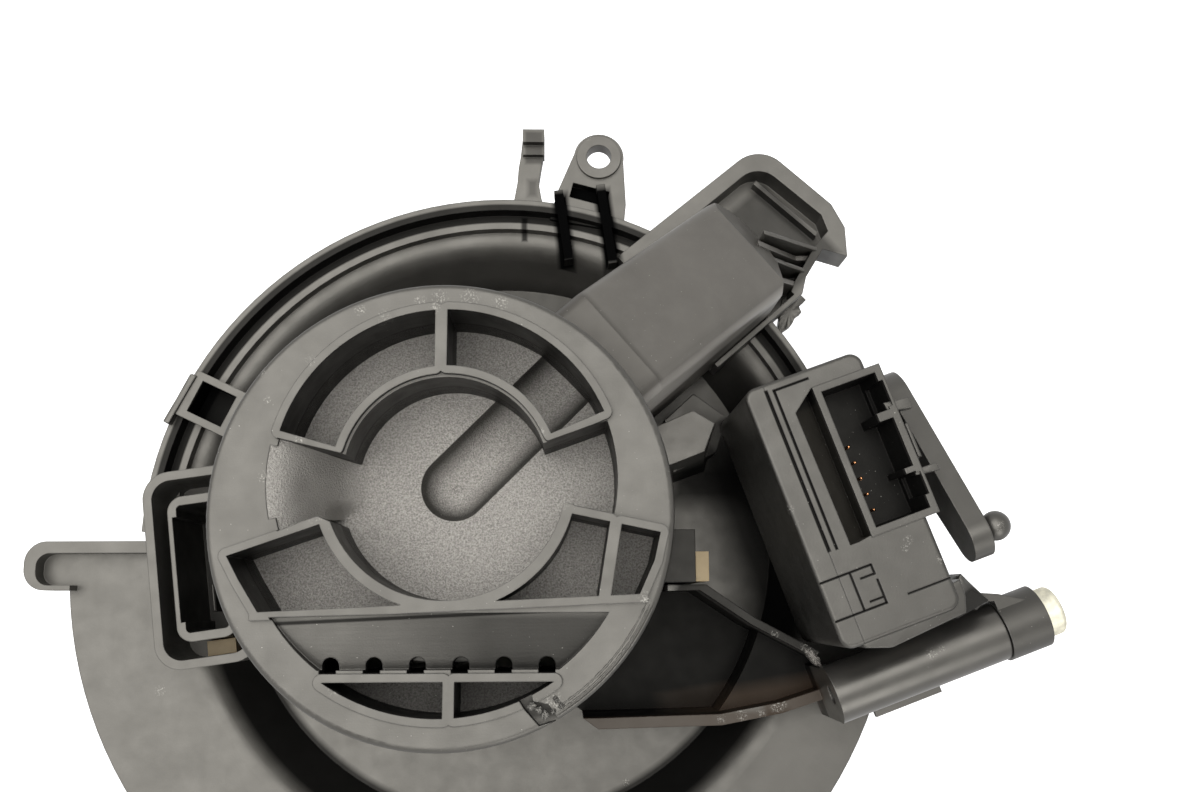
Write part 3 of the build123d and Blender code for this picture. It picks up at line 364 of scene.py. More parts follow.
def moulded(name, colour, rough=0.42, grain=0.5, grain_size=0.6, edge=0.00035, edge_light=0.5,
            spots=(), patches=(), rings=(), walls=0.0, coarse_below=None, pale_floor=None,
            streak=0.0, shine=1.0, speck=0.0):
    """Moulded plastic: soft mottle, grain, dust, and edges painted lighter for wear and highlight.

    edge_light, streak, shine and speck say how strong the lighter edges, streaks, shine and pale
    specks are; the lighter edges are partly rubbed wear and partly a painted highlight. spots are
    scuffs, and patches are boxes of another tone, mostly painted shade and painted light. rings are
    rings of painted shade, each with what ringed() takes and how dark it is. walls says how much
    painted shade darkens upright faces. Below the height coarse_below the grain is blasted, and
    level faces there take the pale_floor tone as painted light.
    """
    values = finish_values()
    mat, tree, shader = material(name)
    at = place(tree)
    mottle = ramp(tree, noise(tree, at, 45.0, 3.0), 0.3, 0.7)
    base = blend(tree, mottle, scaled(colour, 0.85), scaled(colour, 1.15))
    film = times(tree, ramp(tree, noise(tree, at, 160.0, 6.0, 0.65), 0.45, 0.8), DUST)
    base = blend(tree, film, base, scaled(colour, 2.0, 0.03))
    rounded, lean = edges(tree, edge)
    # Edges painted lighter: partly rubbed wear, partly a painted highlight where rounded edges
    # catch light
    edge_breakup = ramp(tree, noise(tree, at, 700.0, 4.0, 0.7), 0.35, 0.65, 0.35, 1.0)
    edge_wear_and_highlight = times(tree, ramp(tree, lean, 0.02, 0.25), edge_breakup, edge_light)
    base = blend(tree, edge_wear_and_highlight, base, scaled(colour, 3.0, 0.05))
    level = ramp(tree, noise(tree, at, 70.0, 3.0), 0.3, 0.7, 0.93, 1.06)
    # Painted shade: upright faces darker and less shiny
    if walls:
        steep = times(tree, ramp(tree, upward(tree), 0.15, 0.45, 1.0, 0.0), walls)
        base, level = overlay(tree, base, level, steep, BLACK, 0.1)
    # Painted light: level faces below coarse_below take a pale tone
    if pale_floor is not None:
        flat = times(tree, ramp(tree, upward(tree), 0.6, 0.95),
                     under(tree, axes(tree, at)[2], coarse_below))
        painted_floor_light = ramp(tree, noise(tree, at, 2600.0, 3.0, 0.8), 0.36, 0.66)
        painted_floor_light = blend(tree, painted_floor_light, scaled(pale_floor, 0.5), scaled(pale_floor, 1.6))
        base = blend(tree, flat, base, painted_floor_light)
    # Painted shade in rings
    for *ring, amount in rings:
        mask = times(tree, ringed(tree, at, *ring), amount)
        base, level = overlay(tree, base, level, mask, BLACK, 0.0)
    # Boxes of painted shade and painted light
    for centre, half, turn, soft, tone, amount, gloss in patches:
        mask = times(tree, boxed(tree, at, centre, half, turn, soft), amount)
        base, level = overlay(tree, base, level, mask, tone, gloss)
    if spots:
        base = blend(tree, marks(tree, at, spots, lean), base, tuple(values.scuff_colour))
    if speck:
        limit = 0.78 - 0.04 * speck
        dots = times(tree, ramp(tree, noise(tree, at, 1900.0, 1.0, 0.4), limit, limit + 0.04), 0.7)
        base = blend(tree, dots, base, (0.32, 0.31, 0.28))
    put(tree, shader.inputs["Base Color"], base)
    put(tree, shader.inputs["Roughness"],
        ramp(tree, noise(tree, at, 220.0, 4.0), 0.3, 0.7, rough - 0.05, rough + 0.06))
    put(tree, shader.inputs["Specular IOR Level"], times(tree, level, shine))
    shader.inputs["Specular Tint"].default_value = (*values.shine_tint, 1.0)
    put(tree, shader.inputs["Normal"],
        relief(tree, at, rounded, grain, grain_size, coarse_below, streak))
    return mat


def metal(name, colour, rough=0.35, mottle=0.3, grain=0.4):
    """Bare metal with a light tarnish."""
    mat, tree, shader = material(name)
    at = place(tree)
    tarnish = times(tree, ramp(tree, noise(tree, at, 500.0, 5.0, 0.6), 0.4, 0.7), mottle)
    put(tree, shader.inputs["Base Color"], blend(tree, tarnish, colour, scaled(colour, 0.45)))
    shader.inputs["Metallic"].default_value = 1.0
    put(tree, shader.inputs["Roughness"],
        ramp(tree, noise(tree, at, 900.0, 3.0), 0.3, 0.7, rough - 0.08, rough + 0.1))
    rounded = edges(tree, 0.0002)[0]
    put(tree, shader.inputs["Normal"], bump(tree, noise(tree, at, 2500.0), grain, 0.00003, rounded))
    return mat


def dress(mat, *nodes):
    """Give a finish to nodes of the solid model."""
    for name in nodes:
        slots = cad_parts[name].data.materials
        if not slots:
            slots.append(mat)
        for i in range(len(slots)):
            slots[i] = mat


# Shapes
def on_actuator(u, v, z):
    """Place given along and across the actuator, as a place in the shared frame."""
    turn = radians(ACTUATOR_TURN)
    return (ACTUATOR_AT[0] + u * np.cos(turn) - v * np.sin(turn),
            ACTUATOR_AT[1] + u * np.sin(turn) + v * np.cos(turn), z)


def on_duct(s, t, z):
    """Place given along and across the duct, as a place in the shared frame."""
    turn = radians(DUCT_TURN)
    return (s * np.cos(turn) - t * np.sin(turn), s * np.sin(turn) + t * np.cos(turn), z)


def piece(name, points, faces, mat, body="housing"):
    """Mesh from points in millimetres and index rows, riding on a body."""
    mesh = bpy.data.meshes.new(name)
    places = (np.asarray(points, float) * MM).tolist()
    mesh.from_pydata(places, [], [list(map(int, f)) for f in faces])
    mesh.update()
    mesh.polygons.foreach_set("use_smooth", np.ones(len(mesh.polygons), bool))
    mesh.materials.append(mat)
    obj = bpy.data.objects.new(name, mesh)
    bpy.context.scene.collection.objects.link(obj)
    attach(obj, body)


def lattice(rows, columns, wrap):
    """Quads of a grid whose columns may close on themselves."""
    spans = columns if wrap else columns - 1
    i, j = np.meshgrid(np.arange(rows - 1), np.arange(spans), indexing="ij")
    k = (j + 1) % columns
    low, high = i * columns, (i + 1) * columns
    return np.stack([low + j, low + k, high + k, high + j], -1).reshape(-1, 4)


def walked(path):
    """Length along a path up to each of its points."""
    return np.concatenate([[0.0], np.cumsum(np.linalg.norm(np.diff(path, axis=0), axis=1))])


def resampled(outline, count):
    """Points at even steps along a closed outline."""
    ring = np.vstack([outline, outline[:1]]).astype(float)
    run = walked(ring)
    steps = np.linspace(0.0, run[-1], count, endpoint=False)
    return np.stack([np.interp(steps, run, ring[:, k]) for k in range(ring.shape[1])], -1)


def slab(name, outline, low, high, mat, rounding=0.3, rough=0.0, seed=1):
    """Block over an outline with a rounded top rim.

    Each level of the wall is the outline drawn in towards its middle by r(1 - cos a) and raised by
    r sin a. high is one height, or one for each corner of the outline, and rough shakes the points
    by so many millimetres.
    """
    rim_steps, points_a_corner = 5, 12
    corners = np.asarray(outline, float)
    tops = np.full(len(corners), high, float) if np.isscalar(high) else np.asarray(high, float)
    ring = resampled(np.column_stack([corners, tops]), points_a_corner * len(corners))
    n = len(ring)
    middle = ring.mean(0)
    out = ring[:, :2] - middle[:2]
    out /= np.linalg.norm(out, axis=1, keepdims=True)
    angle = np.linspace(0.0, np.pi / 2, rim_steps)
    inset = np.concatenate([[0.0], rounding * (1 - np.cos(angle))])
    drop = np.concatenate([[0.0], rounding * (1 - np.sin(angle))])
    levels = np.empty((rim_steps + 1, n, 3))
    levels[:, :, :2] = ring[None, :, :2] - out[None] * inset[:, None, None]
    levels[:, :, 2] = ring[None, :, 2] - drop[:, None]
    levels[0, :, 2] = low
    levels[1:] += np.random.default_rng(seed).normal(0.0, 1.0, levels[1:].shape) * rough
    centres = [[*middle[:2], levels[-1, :, 2].mean()], [*middle[:2], low]]
    points = np.vstack([levels.reshape(-1, 3), centres])
    here = np.arange(n)
    after = (here + 1) % n
    last, total = rim_steps * n, (rim_steps + 1) * n
    top = np.stack([last + here, last + after, np.full(n, total)], -1)
    bottom = np.stack([after, here, np.full(n, total + 1)], -1)
    piece(name, points, [*lattice(rim_steps + 1, n, True), *top, *bottom], mat)


def bead(name, path, width, height, mat, rough=0.0, seed=1):
    """Low ridge along a path, sunk a little at its sides.

    Across the path the section is half a wave: w cos a to the side and h sin a upwards, for a from
    0 to 180 degrees. The width and the height shrink to nothing over the first and last tenth, and
    rough shakes both.
    """
    step, fewest_steps, across, sunk = 0.35, 24, 7, 0.05
    path = np.asarray(path, float)
    run = walked(path)
    steps = np.linspace(0.0, run[-1], max(fewest_steps, int(run[-1] / step)))
    line = np.stack([np.interp(steps, run, path[:, k]) for k in range(3)], -1)
    along = np.gradient(line, axis=0)
    side = np.stack([-along[:, 1], along[:, 0], np.zeros(len(line))], -1)
    side /= np.linalg.norm(side, axis=1, keepdims=True)
    fade = np.clip(np.minimum(steps, run[-1] - steps) / (0.1 * run[-1]), 0.02, 1.0)
    shake = 1.0 + rough * np.random.default_rng(seed).normal(0.0, 1.0, len(line))
    angle = np.linspace(0.0, np.pi, across)[None, :, None]
    w = (width / 2 * fade * shake)[:, None, None]
    h = (height * fade * shake)[:, None, None]
    up = np.array([0.0, 0.0, 1.0])
    points = line[:, None] + w * np.cos(angle) * side[:, None] + h * np.sin(angle) * up
    points[:, [0, -1], 2] -= sunk
    piece(name, points.reshape(-1, 3), lattice(len(line), across, False), mat)


def arc(centre, radius, start, end, z, count=60):
    """Points on a circle between two angles in degrees."""
    a = np.radians(np.linspace(start, end, count))
    x, y = centre[0] + radius * np.cos(a), centre[1] + radius * np.sin(a)
    return np.stack([x, y, np.full(count, z)], -1)


# The parts of the object, one operator for each
class BLOWER_OT_cover(bpy.types.Operator):
    """Finish the scroll cover and add its side gusset, clip socket strip and broken edge"""
    bl_idname = "blower.cover"
    bl_label = "Cover finish"

    def execute(self, context):
        v = finish_values()
        # Painted shade: dark boxes over the ear's ribs and pocket, the clip's slot, hook and
        # socket, the hollows round the actuator and the duct's end, and a soft darkening towards
        # the lower right
        dark = [patch((22.4, 68.2, 5.0), (2.0, 9.5, 7.0), 6.5, (0.6, 1.2, 0.3)),
                patch((33.4, 68.5, 5.0), (2.0, 10.2, 7.0), 8.0, (0.6, 1.2, 0.3)),
                patch((28.8, 77.2, 1.0), (5.0, 2.5, 2.8), -13.0, 0.2),
                patch((80.0, -6.0, -12.0), (18.0, 36.0, 19.0), 20.0, (6.0, 6.0, 3.0),
                      BLACK, 0.9, 0.1),
                patch((59.0, 6.0, -9.0), (10.0, 5.5, 13.0), 0.0, 3.0, BLACK, 0.9, 0.1),
                patch((71.0, -12.0, -12.0), (5.0, 30.0, 19.0), 8.0, (5.0, 6.0, 3.0),
                      BLACK, 0.7, 0.3),
                patch(on_duct(95.0, 0.0, 8.0), (13.0, 13.0, 12.0), DUCT_TURN, (1.0, 1.0, 4.0),
                      BLACK, 0.75, 0.25),
                patch((95.0, -85.0, 0.0), (70.0, 45.0, 12.0), 0.0, (40.0, 30.0, 5.0),
                      BLACK, 0.35, 0.6),
                patch((48.5, -14.0, 20.0), (4.2, 6.2, 16.0), 0.0, 0.3, BLACK, 0.85, 0.12),
                patch((12.7, 68.7, 4.0), (0.7, 3.0, 6.0), 0.0, 0.3, BLACK, 0.9, 0.1),
                patch((14.6, 79.4, 2.0), (1.2, 2.2, 3.0), 0.0, 0.7, BLACK, 0.6, 0.3),
                patch((15.0, 89.5, 5.0), (2.2, 3.6, 4.0), 0.0, 0.4, BLACK, 0.7, 0.4),
                patch((-61.1, 23.3, 2.0), (6.4, 5.6, 6.0), 154.5, 0.3, BLACK, 1.0, 0.05)]
        scuffs = [*scuffs_at(21.0, (-66.0, -15.1, 1.6), (-67.4, -9.5, 1.2), (-62.8, -33.6, 1.6)),
                  ((37.7, -66.6, -10.0), 1.1), ((-71.6, -43.4, 2.5), 1.5), ((28.5, 93.0, 5.0), 2.0)]
        # Painted shade: rings in the well on its south side, in the rim's groove and in the well's
        # north side by the cap; walls darkens upright faces as painted shade
        rings = [(RIM_CENTRE, 64.5, 73.5, 0.5, 0.8, -12.0, -40.0, 0.85),
                 (RIM_CENTRE, 79.3, 83.6, 8.0, 0.25, -12.0, 0.0, 0.85),
                 (RIM_CENTRE, 44.0, 67.0, 0.0, 1.5, 25.0, 42.0, 0.55)]
        mat = moulded("cover_plastic", v.cover_colour, rough=0.44, grain=0.3, grain_size=0.5,
                      edge=v.edge_round, patches=dark, spots=scuffs, rings=rings, walls=0.35)
        dress(mat, "scroll_cover")
        dress(moulded("soft_ring", (0.02, 0.02, 0.02), rough=0.7), "isolator_ring")
        slab("side_gusset", [(46.5, 19.0), (53.8, 25.8), (62.0, 20.0), (59.5, 12.0), (48.7, 6.7)],
             -6.0, [11.0, 9.0, 8.0, 5.5, 8.5], mat)
        slab("clip_socket_strip", [(-72.2, 19.0), (-66.3, 30.6), (-64.9, 30.0), (-70.9, 18.3)],
             1.0, 9.6, mat)
        slab("flange_jag", [(75.5, 41.5), (79.0, 43.9), (80.2, 46.2), (81.8, 47.3), (81.2, 49.0),
                            (83.0, 50.6), (80.6, 53.3), (77.0, 51.0)],
             0.2, 3.0, mat, rough=0.05, seed=7)
        return {"FINISHED"}


class BLOWER_OT_cap(bpy.types.Operator):
    """Finish the motor cap and add its gate mark, parting ridges, recess ramp and chipped notch"""
    bl_idname = "blower.cap"
    bl_label = "Cap finish"

    def ramp_in(self, mat):
        """Slope from the flange down to the recess floor on its open left side.

        The height falls from the flange to the floor as t - 0.6 sin(2 pi t) / (2 pi), for t from 0
        at the slope's outer radius to 1 at its inner one. One side lies at one bearing from the
        axis, and the other follows the lower pocket's wall. Within the wall's inner end the slope
        sinks to the floor towards that side, over ten degrees.
        """
        outer, inner, first = 34.9, 18.0, 166.2
        wall_end, wall_slope, wall_reach = (-24.4, -7.2), 0.4023, 25.4
        rows, columns = 40, 50
        radius = np.linspace(outer, inner, rows)[:, None]
        t = (outer - radius) / (outer - inner)
        wall_x = np.linspace(-36.0, wall_end[0], 60)
        wall_y = wall_end[1] + (wall_x - wall_end[0]) * wall_slope
        reach = np.hypot(wall_x, wall_y)[::-1]
        bearing = np.degrees(np.arctan2(wall_y, wall_x))[::-1] % 360.0
        last = np.interp(radius, reach, bearing)
        angle = first + (last - first) * np.linspace(0.0, 1.0, columns)[None, :]
        loose = np.clip((wall_reach - radius) / 2.0, 0.0, 1.0)
        near = np.clip((last - angle) / 10.0, 0.0, 1.0)
        near = near * near * (3.0 - 2.0 * near)
        fall = t - 0.6 * np.sin(2.0 * np.pi * t) / (2.0 * np.pi)
        rise = (CAP_FACE - CAP_FLOOR) * (1.0 - fall) * (1.0 - loose + loose * near)
        turn = np.radians(angle)
        height = CAP_FLOOR - 0.03 + rise
        points = np.stack([radius * np.cos(turn), radius * np.sin(turn), height], -1)
        piece("recess_ramp", points.reshape(-1, 3), lattice(rows, columns, False)[:, ::-1], mat)

    def execute(self, context):
        v = finish_values()
        scuffs = [*scuffs_at(CAP_TOP, (-24.5, -7.1, 2.0), (22.5, -4.7, 1.8), (-28.1, 7.4, 1.2),
                             (-2.6, 33.7, 1.5), (18.2, 9.3, 1.2), (33.8, 10.3, 1.4),
                             (38.4, -23.4, 2.2), (1.9, -38.5, 1.0), (-27.0, 23.4, 2.0)),
                  *scuffs_at(CAP_FACE, (-1.8, 35.9, 2.2), (4.1, 36.2, 2.4), (10.1, 34.9, 2.0),
                             (-5.7, 35.3, 1.6), (-12.5, 31.8, 2.2), (-17.5, 33.5, 1.4),
                             (-36.3, 21.0, 1.0), (-35.0, 15.4, 1.0), (-34.8, 0.2, 1.6),
                             (-33.7, -2.2, 1.4), (-20.2, -39.7, 1.6), (-6.2, -44.1, 1.0),
                             (-3.3, -39.2, 0.9), (19.3, -44.0, 2.0), (20.8, -42.0, 2.2),
                             (17.0, -42.6, 1.8), (24.0, 36.0, 1.4)),
                  *scuffs_at(CAP_FLOOR, (-6.5, -13.5, 0.9), (-5.7, -13.9, 0.9), (-11.8, -2.5, 0.7),
                             (9.0, -8.0, 0.6))]
        # Painted shade: a dark line under the straight wall, the panel darker towards its foot, and
        # the crescent pocket
        dark = [patch((1.2, -26.1, 55.0), (37.8, 0.35, 5.2), 2.43, 0.15, BLACK, 0.9, 0.1),
                patch((25.0, -31.8, 52.0), (31.0, 6.0, 8.1), 0.0, (14.0, 1.0, 0.4),
                      BLACK, 0.85, 0.33),
                patch((-1.0, -36.8, 52.0), (23.5, 2.0, 3.0)),
                patch((0.0, -42.0, 50.0), (26.0, 3.2, 9.0), 0.0, 0.4, BLACK, 0.7, 0.2)]
        # Painted light: the pale_floor tone makes the level recess floors pale
        grain = {"rough": 0.43, "grain": 0.5, "grain_size": 0.4, "edge": v.edge_round,
                 "pale_floor": PALE_FLOOR}
        # walls paints shade on upright faces, and edge_light paints edges lighter for wear and
        # highlight
        mat = moulded("cap_plastic", v.cap_colour, **grain, coarse_below=50.0, patches=dark,
                      spots=scuffs, streak=0.5, speck=0.15, walls=0.85, edge_light=0.9)
        dress(mat, "motor_cap")
        # Painted light: the slope takes a pale tone, standing in for the lit recess wall
        self.ramp_in(moulded("ramp_painted_light", (0.27, 0.256, 0.235), **grain, coarse_below=70.0))
        chip = moulded("chipped_plastic", (0.06, 0.058, 0.053), rough=0.6, grain=0.8,
                       grain_size=0.3, edge=0.0001, spots=[((19.0, -43.0, 60.8), 3.0)])
        for i, (radius, high) in enumerate(((43.15, 0.22), (43.85, 0.3), (44.55, 0.22))):
            bead("parting_ridge_%d" % i, arc(POT_CENTRE, radius, -23.0, -60.0, CAP_FACE),
                 0.38, high, mat, 0.25, i)
        gate, gate_z = (0.3, -0.3), 37.5
        bead("gate_ring", arc(gate, 0.95, 0.0, 378.0, gate_z, 50), 0.3, 0.14, mat)
        bead("gate_dot", arc(gate, 0.3, 0.0, 378.0, gate_z, 30), 0.25, 0.12, mat)
        bead("panel_arch", [(25.2, -36.6, 56.8), (26.3, -35.0, 57.3), (27.8, -33.9, 57.6),
                            (29.8, -33.2, 57.8), (31.0, -33.8, 57.6)], 0.7, 0.5, mat, 0.1, 3)
        corners = 7
        turn = np.linspace(0, 2 * np.pi, corners, endpoint=False)
        for i, (x, y, size) in enumerate((
                (16.8, -42.7, 1.1), (18.1, -43.6, 0.9), (19.4, -44.6, 1.2), (21.4, -41.8, 0.9),
                (22.3, -42.9, 0.8), (20.8, -43.9, 0.7))):
            reach = size * np.random.default_rng(i).uniform(0.45, 1.0, corners)
            outline = np.column_stack([x + reach * np.cos(turn), y + reach * np.sin(turn)])
            slab("chip_%d" % i, outline, CAP_FACE - 1.2, CAP_FACE + 0.35, chip, 0.25, 0.07, i)
        return {"FINISHED"}


class BLOWER_OT_duct(bpy.types.Operator):
    """Finish the cooling duct and add the gussets at its open corner"""
    bl_idname = "blower.duct"
    bl_label = "Duct finish"

    def execute(self, context):
        v = finish_values()
        top, near, slope = 50.5, 50.0, 0.3  # its top stands this high this near the axis, and falls
        scuffs = [((x, y, top - slope * (np.hypot(x, y) - near)), 1.3) for x, y in (
            (50.2, 51.8), (51.1, 50.0), (57.7, 42.6), (59.5, 43.0), (53.1, 36.1), (40.2, 46.5),
            (44.2, 27.5), (45.1, 26.6), (42.9, 47.6), (58.1, 41.6), (46.7, 41.8), (36.0, 44.5))]
        # The first box keeps the duct's own colour with less shine near its root. The second is
        # painted light, a pale lit band on the lower right side; the third is painted shade, a dark
        # line along the crease above that band.
        tones = [patch(on_duct(38.0, 0.0, 50.0), (8.6, 16.0, 4.0), DUCT_TURN, (0.6, 0.5, 0.5),
                       v.duct_colour, 0.9, 0.3),
                 patch(on_duct(64.0, -14.8, 40.0), (26.0, 2.2, 14.0), DUCT_TURN, (3.0, 0.7, 2.0),
                       (0.40, 0.38, 0.35), 0.9, 1.0),
                 patch(on_duct(62.0, -10.6, 48.0), (24.0, 0.5, 8.0), DUCT_TURN, (3.0, 1.2, 1.0),
                       BLACK, 0.3, 0.8)]
        mat = moulded("duct_plastic", v.duct_colour, rough=0.40, grain=0.15, edge=v.edge_round,
                      patches=tones, spots=scuffs, speck=0.3, shine=1.08)
        dress(mat, "cooling_duct")
        fin = moulded("gusset_plastic", v.cover_colour, grain=0.2, edge=0.0002)
        half, foot, low = 0.45, 4.5, 9.8
        for name, start, end, high in (("gusset_a", (92.0, 0.6), (104.6, -9.2), 26.0),
                                       ("gusset_b", (88.8, -3.4), (98.6, -11.2), 24.0)):
            a = np.array(on_duct(*start, 0))[:2]
            b = np.array(on_duct(*end, 0))[:2]
            side = np.array([a[1] - b[1], b[0] - a[0]])
            side *= half / np.linalg.norm(side)
            outline = [a + side, b + side, b - side, a - side]
            slab(name, outline, foot, [high, low, low, high], fin, 0.15)
        return {"FINISHED"}


class BLOWER_OT_actuator(bpy.types.Operator):
    """Finish the actuator, its lever, pins and screw, and add its socket's tabs, foot and web"""
    bl_idname = "blower.actuator"
    bl_label = "Actuator finish"

    def execute(self, context):
        v = finish_values()
        # Painted shade: dark lines in the engraved grooves and square on the face
        lines = [(-8.35, 9.0, 0.4, 17.6), (-6.7, 8.7, 0.3, 17.4), (-3.0, 26.0, 4.0, 0.25),
                 (-7.0, -13.8, 5.7, 0.2), (-6.8, -21.9, 5.7, 0.2), (-6.1, -17.9, 0.2, 4.1),
                 (-1.4, -14.8, 0.2, 1.1), (-1.3, -19.5, 0.2, 2.6), (-3.0, -15.7, 1.5, 0.18),
                 (-2.9, -20.6, 1.5, 0.18), (8.5, -21.8, 5.1, 0.15)]
        dark = [patch(on_actuator(u, w, ACTUATOR_FACE), (half_u, half_w, 1.5), ACTUATOR_TURN, 0.12,
                      BLACK, 0.95, 0.05) for u, w, half_u, half_w in lines]
        # Painted shade in the hollows below the face, and a warm painted reflection on the trench's
        # slope
        dark += [patch(on_actuator(8.3, 7.6, 39.7), (7.9, 16.7, 9.6), ACTUATOR_TURN, 0.3,
                       BLACK, 0.95, 0.12),
                 patch(on_actuator(-1.6, 5.6, 43.0), (2.4, 15.0, 6.4), ACTUATOR_TURN, 0.3,
                       (0.03, 0.027, 0.022), 0.6, 1.0)]
        scuffs = [(on_actuator(u, w, z), radius) for u, w, z, radius in (
            (7.6, -11.9, ACTUATOR_FACE, 1.2), (6.4, -13.1, ACTUATOR_FACE, 1.0),
            (12.1, -17.8, ACTUATOR_FACE, 1.0), (20.2, 0.2, ACTUATOR_FACE, 1.2),
            (-12.8, 2.0, 49.5, 1.4))]
        mat = moulded("actuator_plastic", v.actuator_colour, grain_size=0.4, edge=v.edge_round,
                      patches=dark, spots=scuffs, speck=0.4, shine=0.84)
        dress(mat, "actuator_case", "actuator_cover")
        dress(moulded("lever_plastic", v.actuator_colour, rough=0.38, grain=0.3, grain_size=0.4,
                      edge=v.edge_round, spots=[((112.0, -8.5, 48.0), 1.5)]), "output_lever")
        dress(metal("pin_copper", v.copper_colour, 0.25), "socket_pins")
        dress(metal("worn_screw", (0.74, 0.71, 0.58), 0.55, 0.5, 1.0), "bracket_screw")
        # Painted shade: a black block fills the shaded hollow under the sleeve web
        pocket = moulded("painted_shade_fill", BLACK, rough=0.6, shine=0.3)
        for name, outline, low, high, finish, rounding in (
                ("socket_tab_a", [(13.7, 15.9), (13.9, 13.9), (19.2, 12.9), (19.2, 15.3)],
                 46.5, 49.9, mat, 0.2),
                ("socket_tab_b", [(14.2, 0.9), (14.3, -0.3), (19.4, -0.9), (19.4, 0.7)],
                 45.5, 49.9, mat, 0.2),
                ("socket_rib", [(16.9, 10.5), (17.7, 10.6), (17.7, 2.8), (16.9, 3.0)],
                 40.0, 47.5, mat, 0.2),
                ("case_foot", [(-9.5, -26.0), (14.8, -22.8), (14.6, -26.0), (13.4, -29.4),
                               (-3.5, -30.6), (-8.6, -28.8)], 36.0, 49.2, mat, 0.4),
                ("web_shade_fill", [(14.4, -24.0), (18.6, -24.6), (22.6, -30.2), (14.6, -31.4)],
                 28.0, 37.0, pocket, 0.2),
                ("sleeve_web", [(17.2, -22.4), (24.4, -30.6), (21.0, -31.9), (14.2, -24.6)],
                 30.0, [43.0, 31.0, 31.5, 41.5], mat, 0.4)):
            slab(name, [on_actuator(u, w, 0)[:2] for u, w in outline], low, high, finish, rounding)
        return {"FINISHED"}


class BLOWER_OT_bracket(bpy.types.Operator):
    """Finish the actuator bracket, with painted warm light along its foot, chipped at its corner"""
    bl_idname = "blower.bracket"
    bl_label = "Bracket finish"

    def execute(self, context):
        v = finish_values()
        # Painted shade over the hollow and on the upper wall's top, and painted warm light on the
        # lower wall's inner face and along the foot
        warm_lit_tone, bright_warm_lit_tone = (0.036, 0.024, 0.016), (0.13, 0.08, 0.048)
        tones = [patch((52.0, -36.0, -1.0), (34.0, 18.0, 12.0), 0.0, 0.8, BLACK, 1.0, 0.06),
                 patch((67.0, -47.0, -1.0), (12.0, 1.5, 5.0), 9.0, (11.0, 4.0, 4.0),
                       bright_warm_lit_tone, 0.6, 3.0),
                 patch((64.0, -28.5, 19.0), (18.0, 9.0, 3.0), -28.0, 0.8, BLACK, 0.9, 0.12),
                 patch((50.0, -51.0, 11.0), (24.0, 3.0, 2.5), 0.0, 1.0, warm_lit_tone, 0.9, 0.35),
                 patch((77.0, -46.0, 11.0), (9.0, 3.0, 2.5), 17.0, 1.0, warm_lit_tone, 0.9, 0.35)]
        scuffs = [*scuffs_at(11.5, (71.3, -47.2, 2.0), (72.5, -46.5, 1.6), (67.8, -48.7, 1.4),
                             (63.2, -49.1, 1.6), (58.5, -50.0, 1.3)),
                  *scuffs_at(19.5, (77.0, -34.4, 2.0), (78.7, -36.2, 1.8), (69.9, -30.8, 1.2)),
                  ((102.0, -35.0, 30.0), 1.6), ((101.3, -37.4, 29.0), 1.5),
                  ((104.2, -34.0, 30.0), 1.0)]
        mat = moulded("bracket_plastic", v.bracket_colour, rough=0.33, grain=0.12, grain_size=0.5,
                      edge=v.edge_round, patches=tones, spots=scuffs)
        dress(mat, "actuator_bracket")
        chip = moulded("bracket_chip", (0.12, 0.11, 0.10), rough=0.6, grain=0.8, grain_size=0.3,
                       edge=0.0001)
        slab("bracket_chip_a", [(76.4, -34.0), (78.2, -34.6), (79.6, -36.2), (80.2, -38.2),
                                (78.9, -37.6), (77.4, -35.8)], 16.0, 20.0, chip, 0.25, 0.12, 4)
        return {"FINISHED"}


class BLOWER_OT_connector(bpy.types.Operator):
    """Finish the power connector and the pale lugs"""
    bl_idname = "blower.connector"
    bl_label = "Connector finish"

    def execute(self, context):
        v = finish_values()
        # Painted shade inside the connector's shell
        inside = [patch((-58.2, -15.3, 8.0), (17.0, 26.0, 11.2), 0.0, 0.3, BLACK, 0.9, 0.15)]
        dress(moulded("connector_plastic", v.cover_colour, grain=0.3, grain_size=0.5,
                      edge=v.edge_round, patches=inside), "power_connector")
        dress(moulded("pale_plastic", (0.34, 0.26, 0.15), rough=0.5, grain=0.3, grain_size=0.5,
                      edge=v.edge_round, shine=0.4), "lock_lugs")
        dress(metal("terminal_metal", (0.07, 0.067, 0.06), 0.55), "power_terminals", "power_leads")
        return {"FINISHED"}


class BLOWER_OT_motor(bpy.types.Operator):
    """Finish the motor, its rotor and the fan wheel"""
    bl_idname = "blower.motor"
    bl_label = "Motor finish"

    def execute(self, context):
        v = finish_values()
        for name, colour, rough, *nodes in (
                ("plated_can", (0.6, 0.59, 0.55), 0.4, "motor_can"),
                ("bright_steel", (0.62, 0.62, 0.62), 0.25,
                 "motor_shaft", "fan_clip", "brush_springs"),
                ("laminations", (0.22, 0.22, 0.23), 0.5, "armature_core"),
                ("winding_copper", v.copper_colour, 0.35,
                 "upper_winding", "lower_winding", "commutator"),
                ("bush_bronze", (0.5, 0.36, 0.2), 0.5, "fan_end_bush", "cap_end_bush")):
            dress(metal(name, colour, rough), *nodes)
        for name, colour, rough, node in (
                ("card_plastic", (0.1, 0.08, 0.06), 0.5, "brush_card"),
                ("carbon", (0.02, 0.02, 0.02), 0.6, "brushes"),
                ("ferrite", (0.05, 0.05, 0.055), 0.6, "magnets")):
            dress(moulded(name, colour, rough), node)
        dress(moulded("fan_plastic", (0.035, 0.035, 0.035), grain=0.2, edge=v.edge_round),
              "fan_wheel", "fan_blades", "fan_ring")
        return {"FINISHED"}


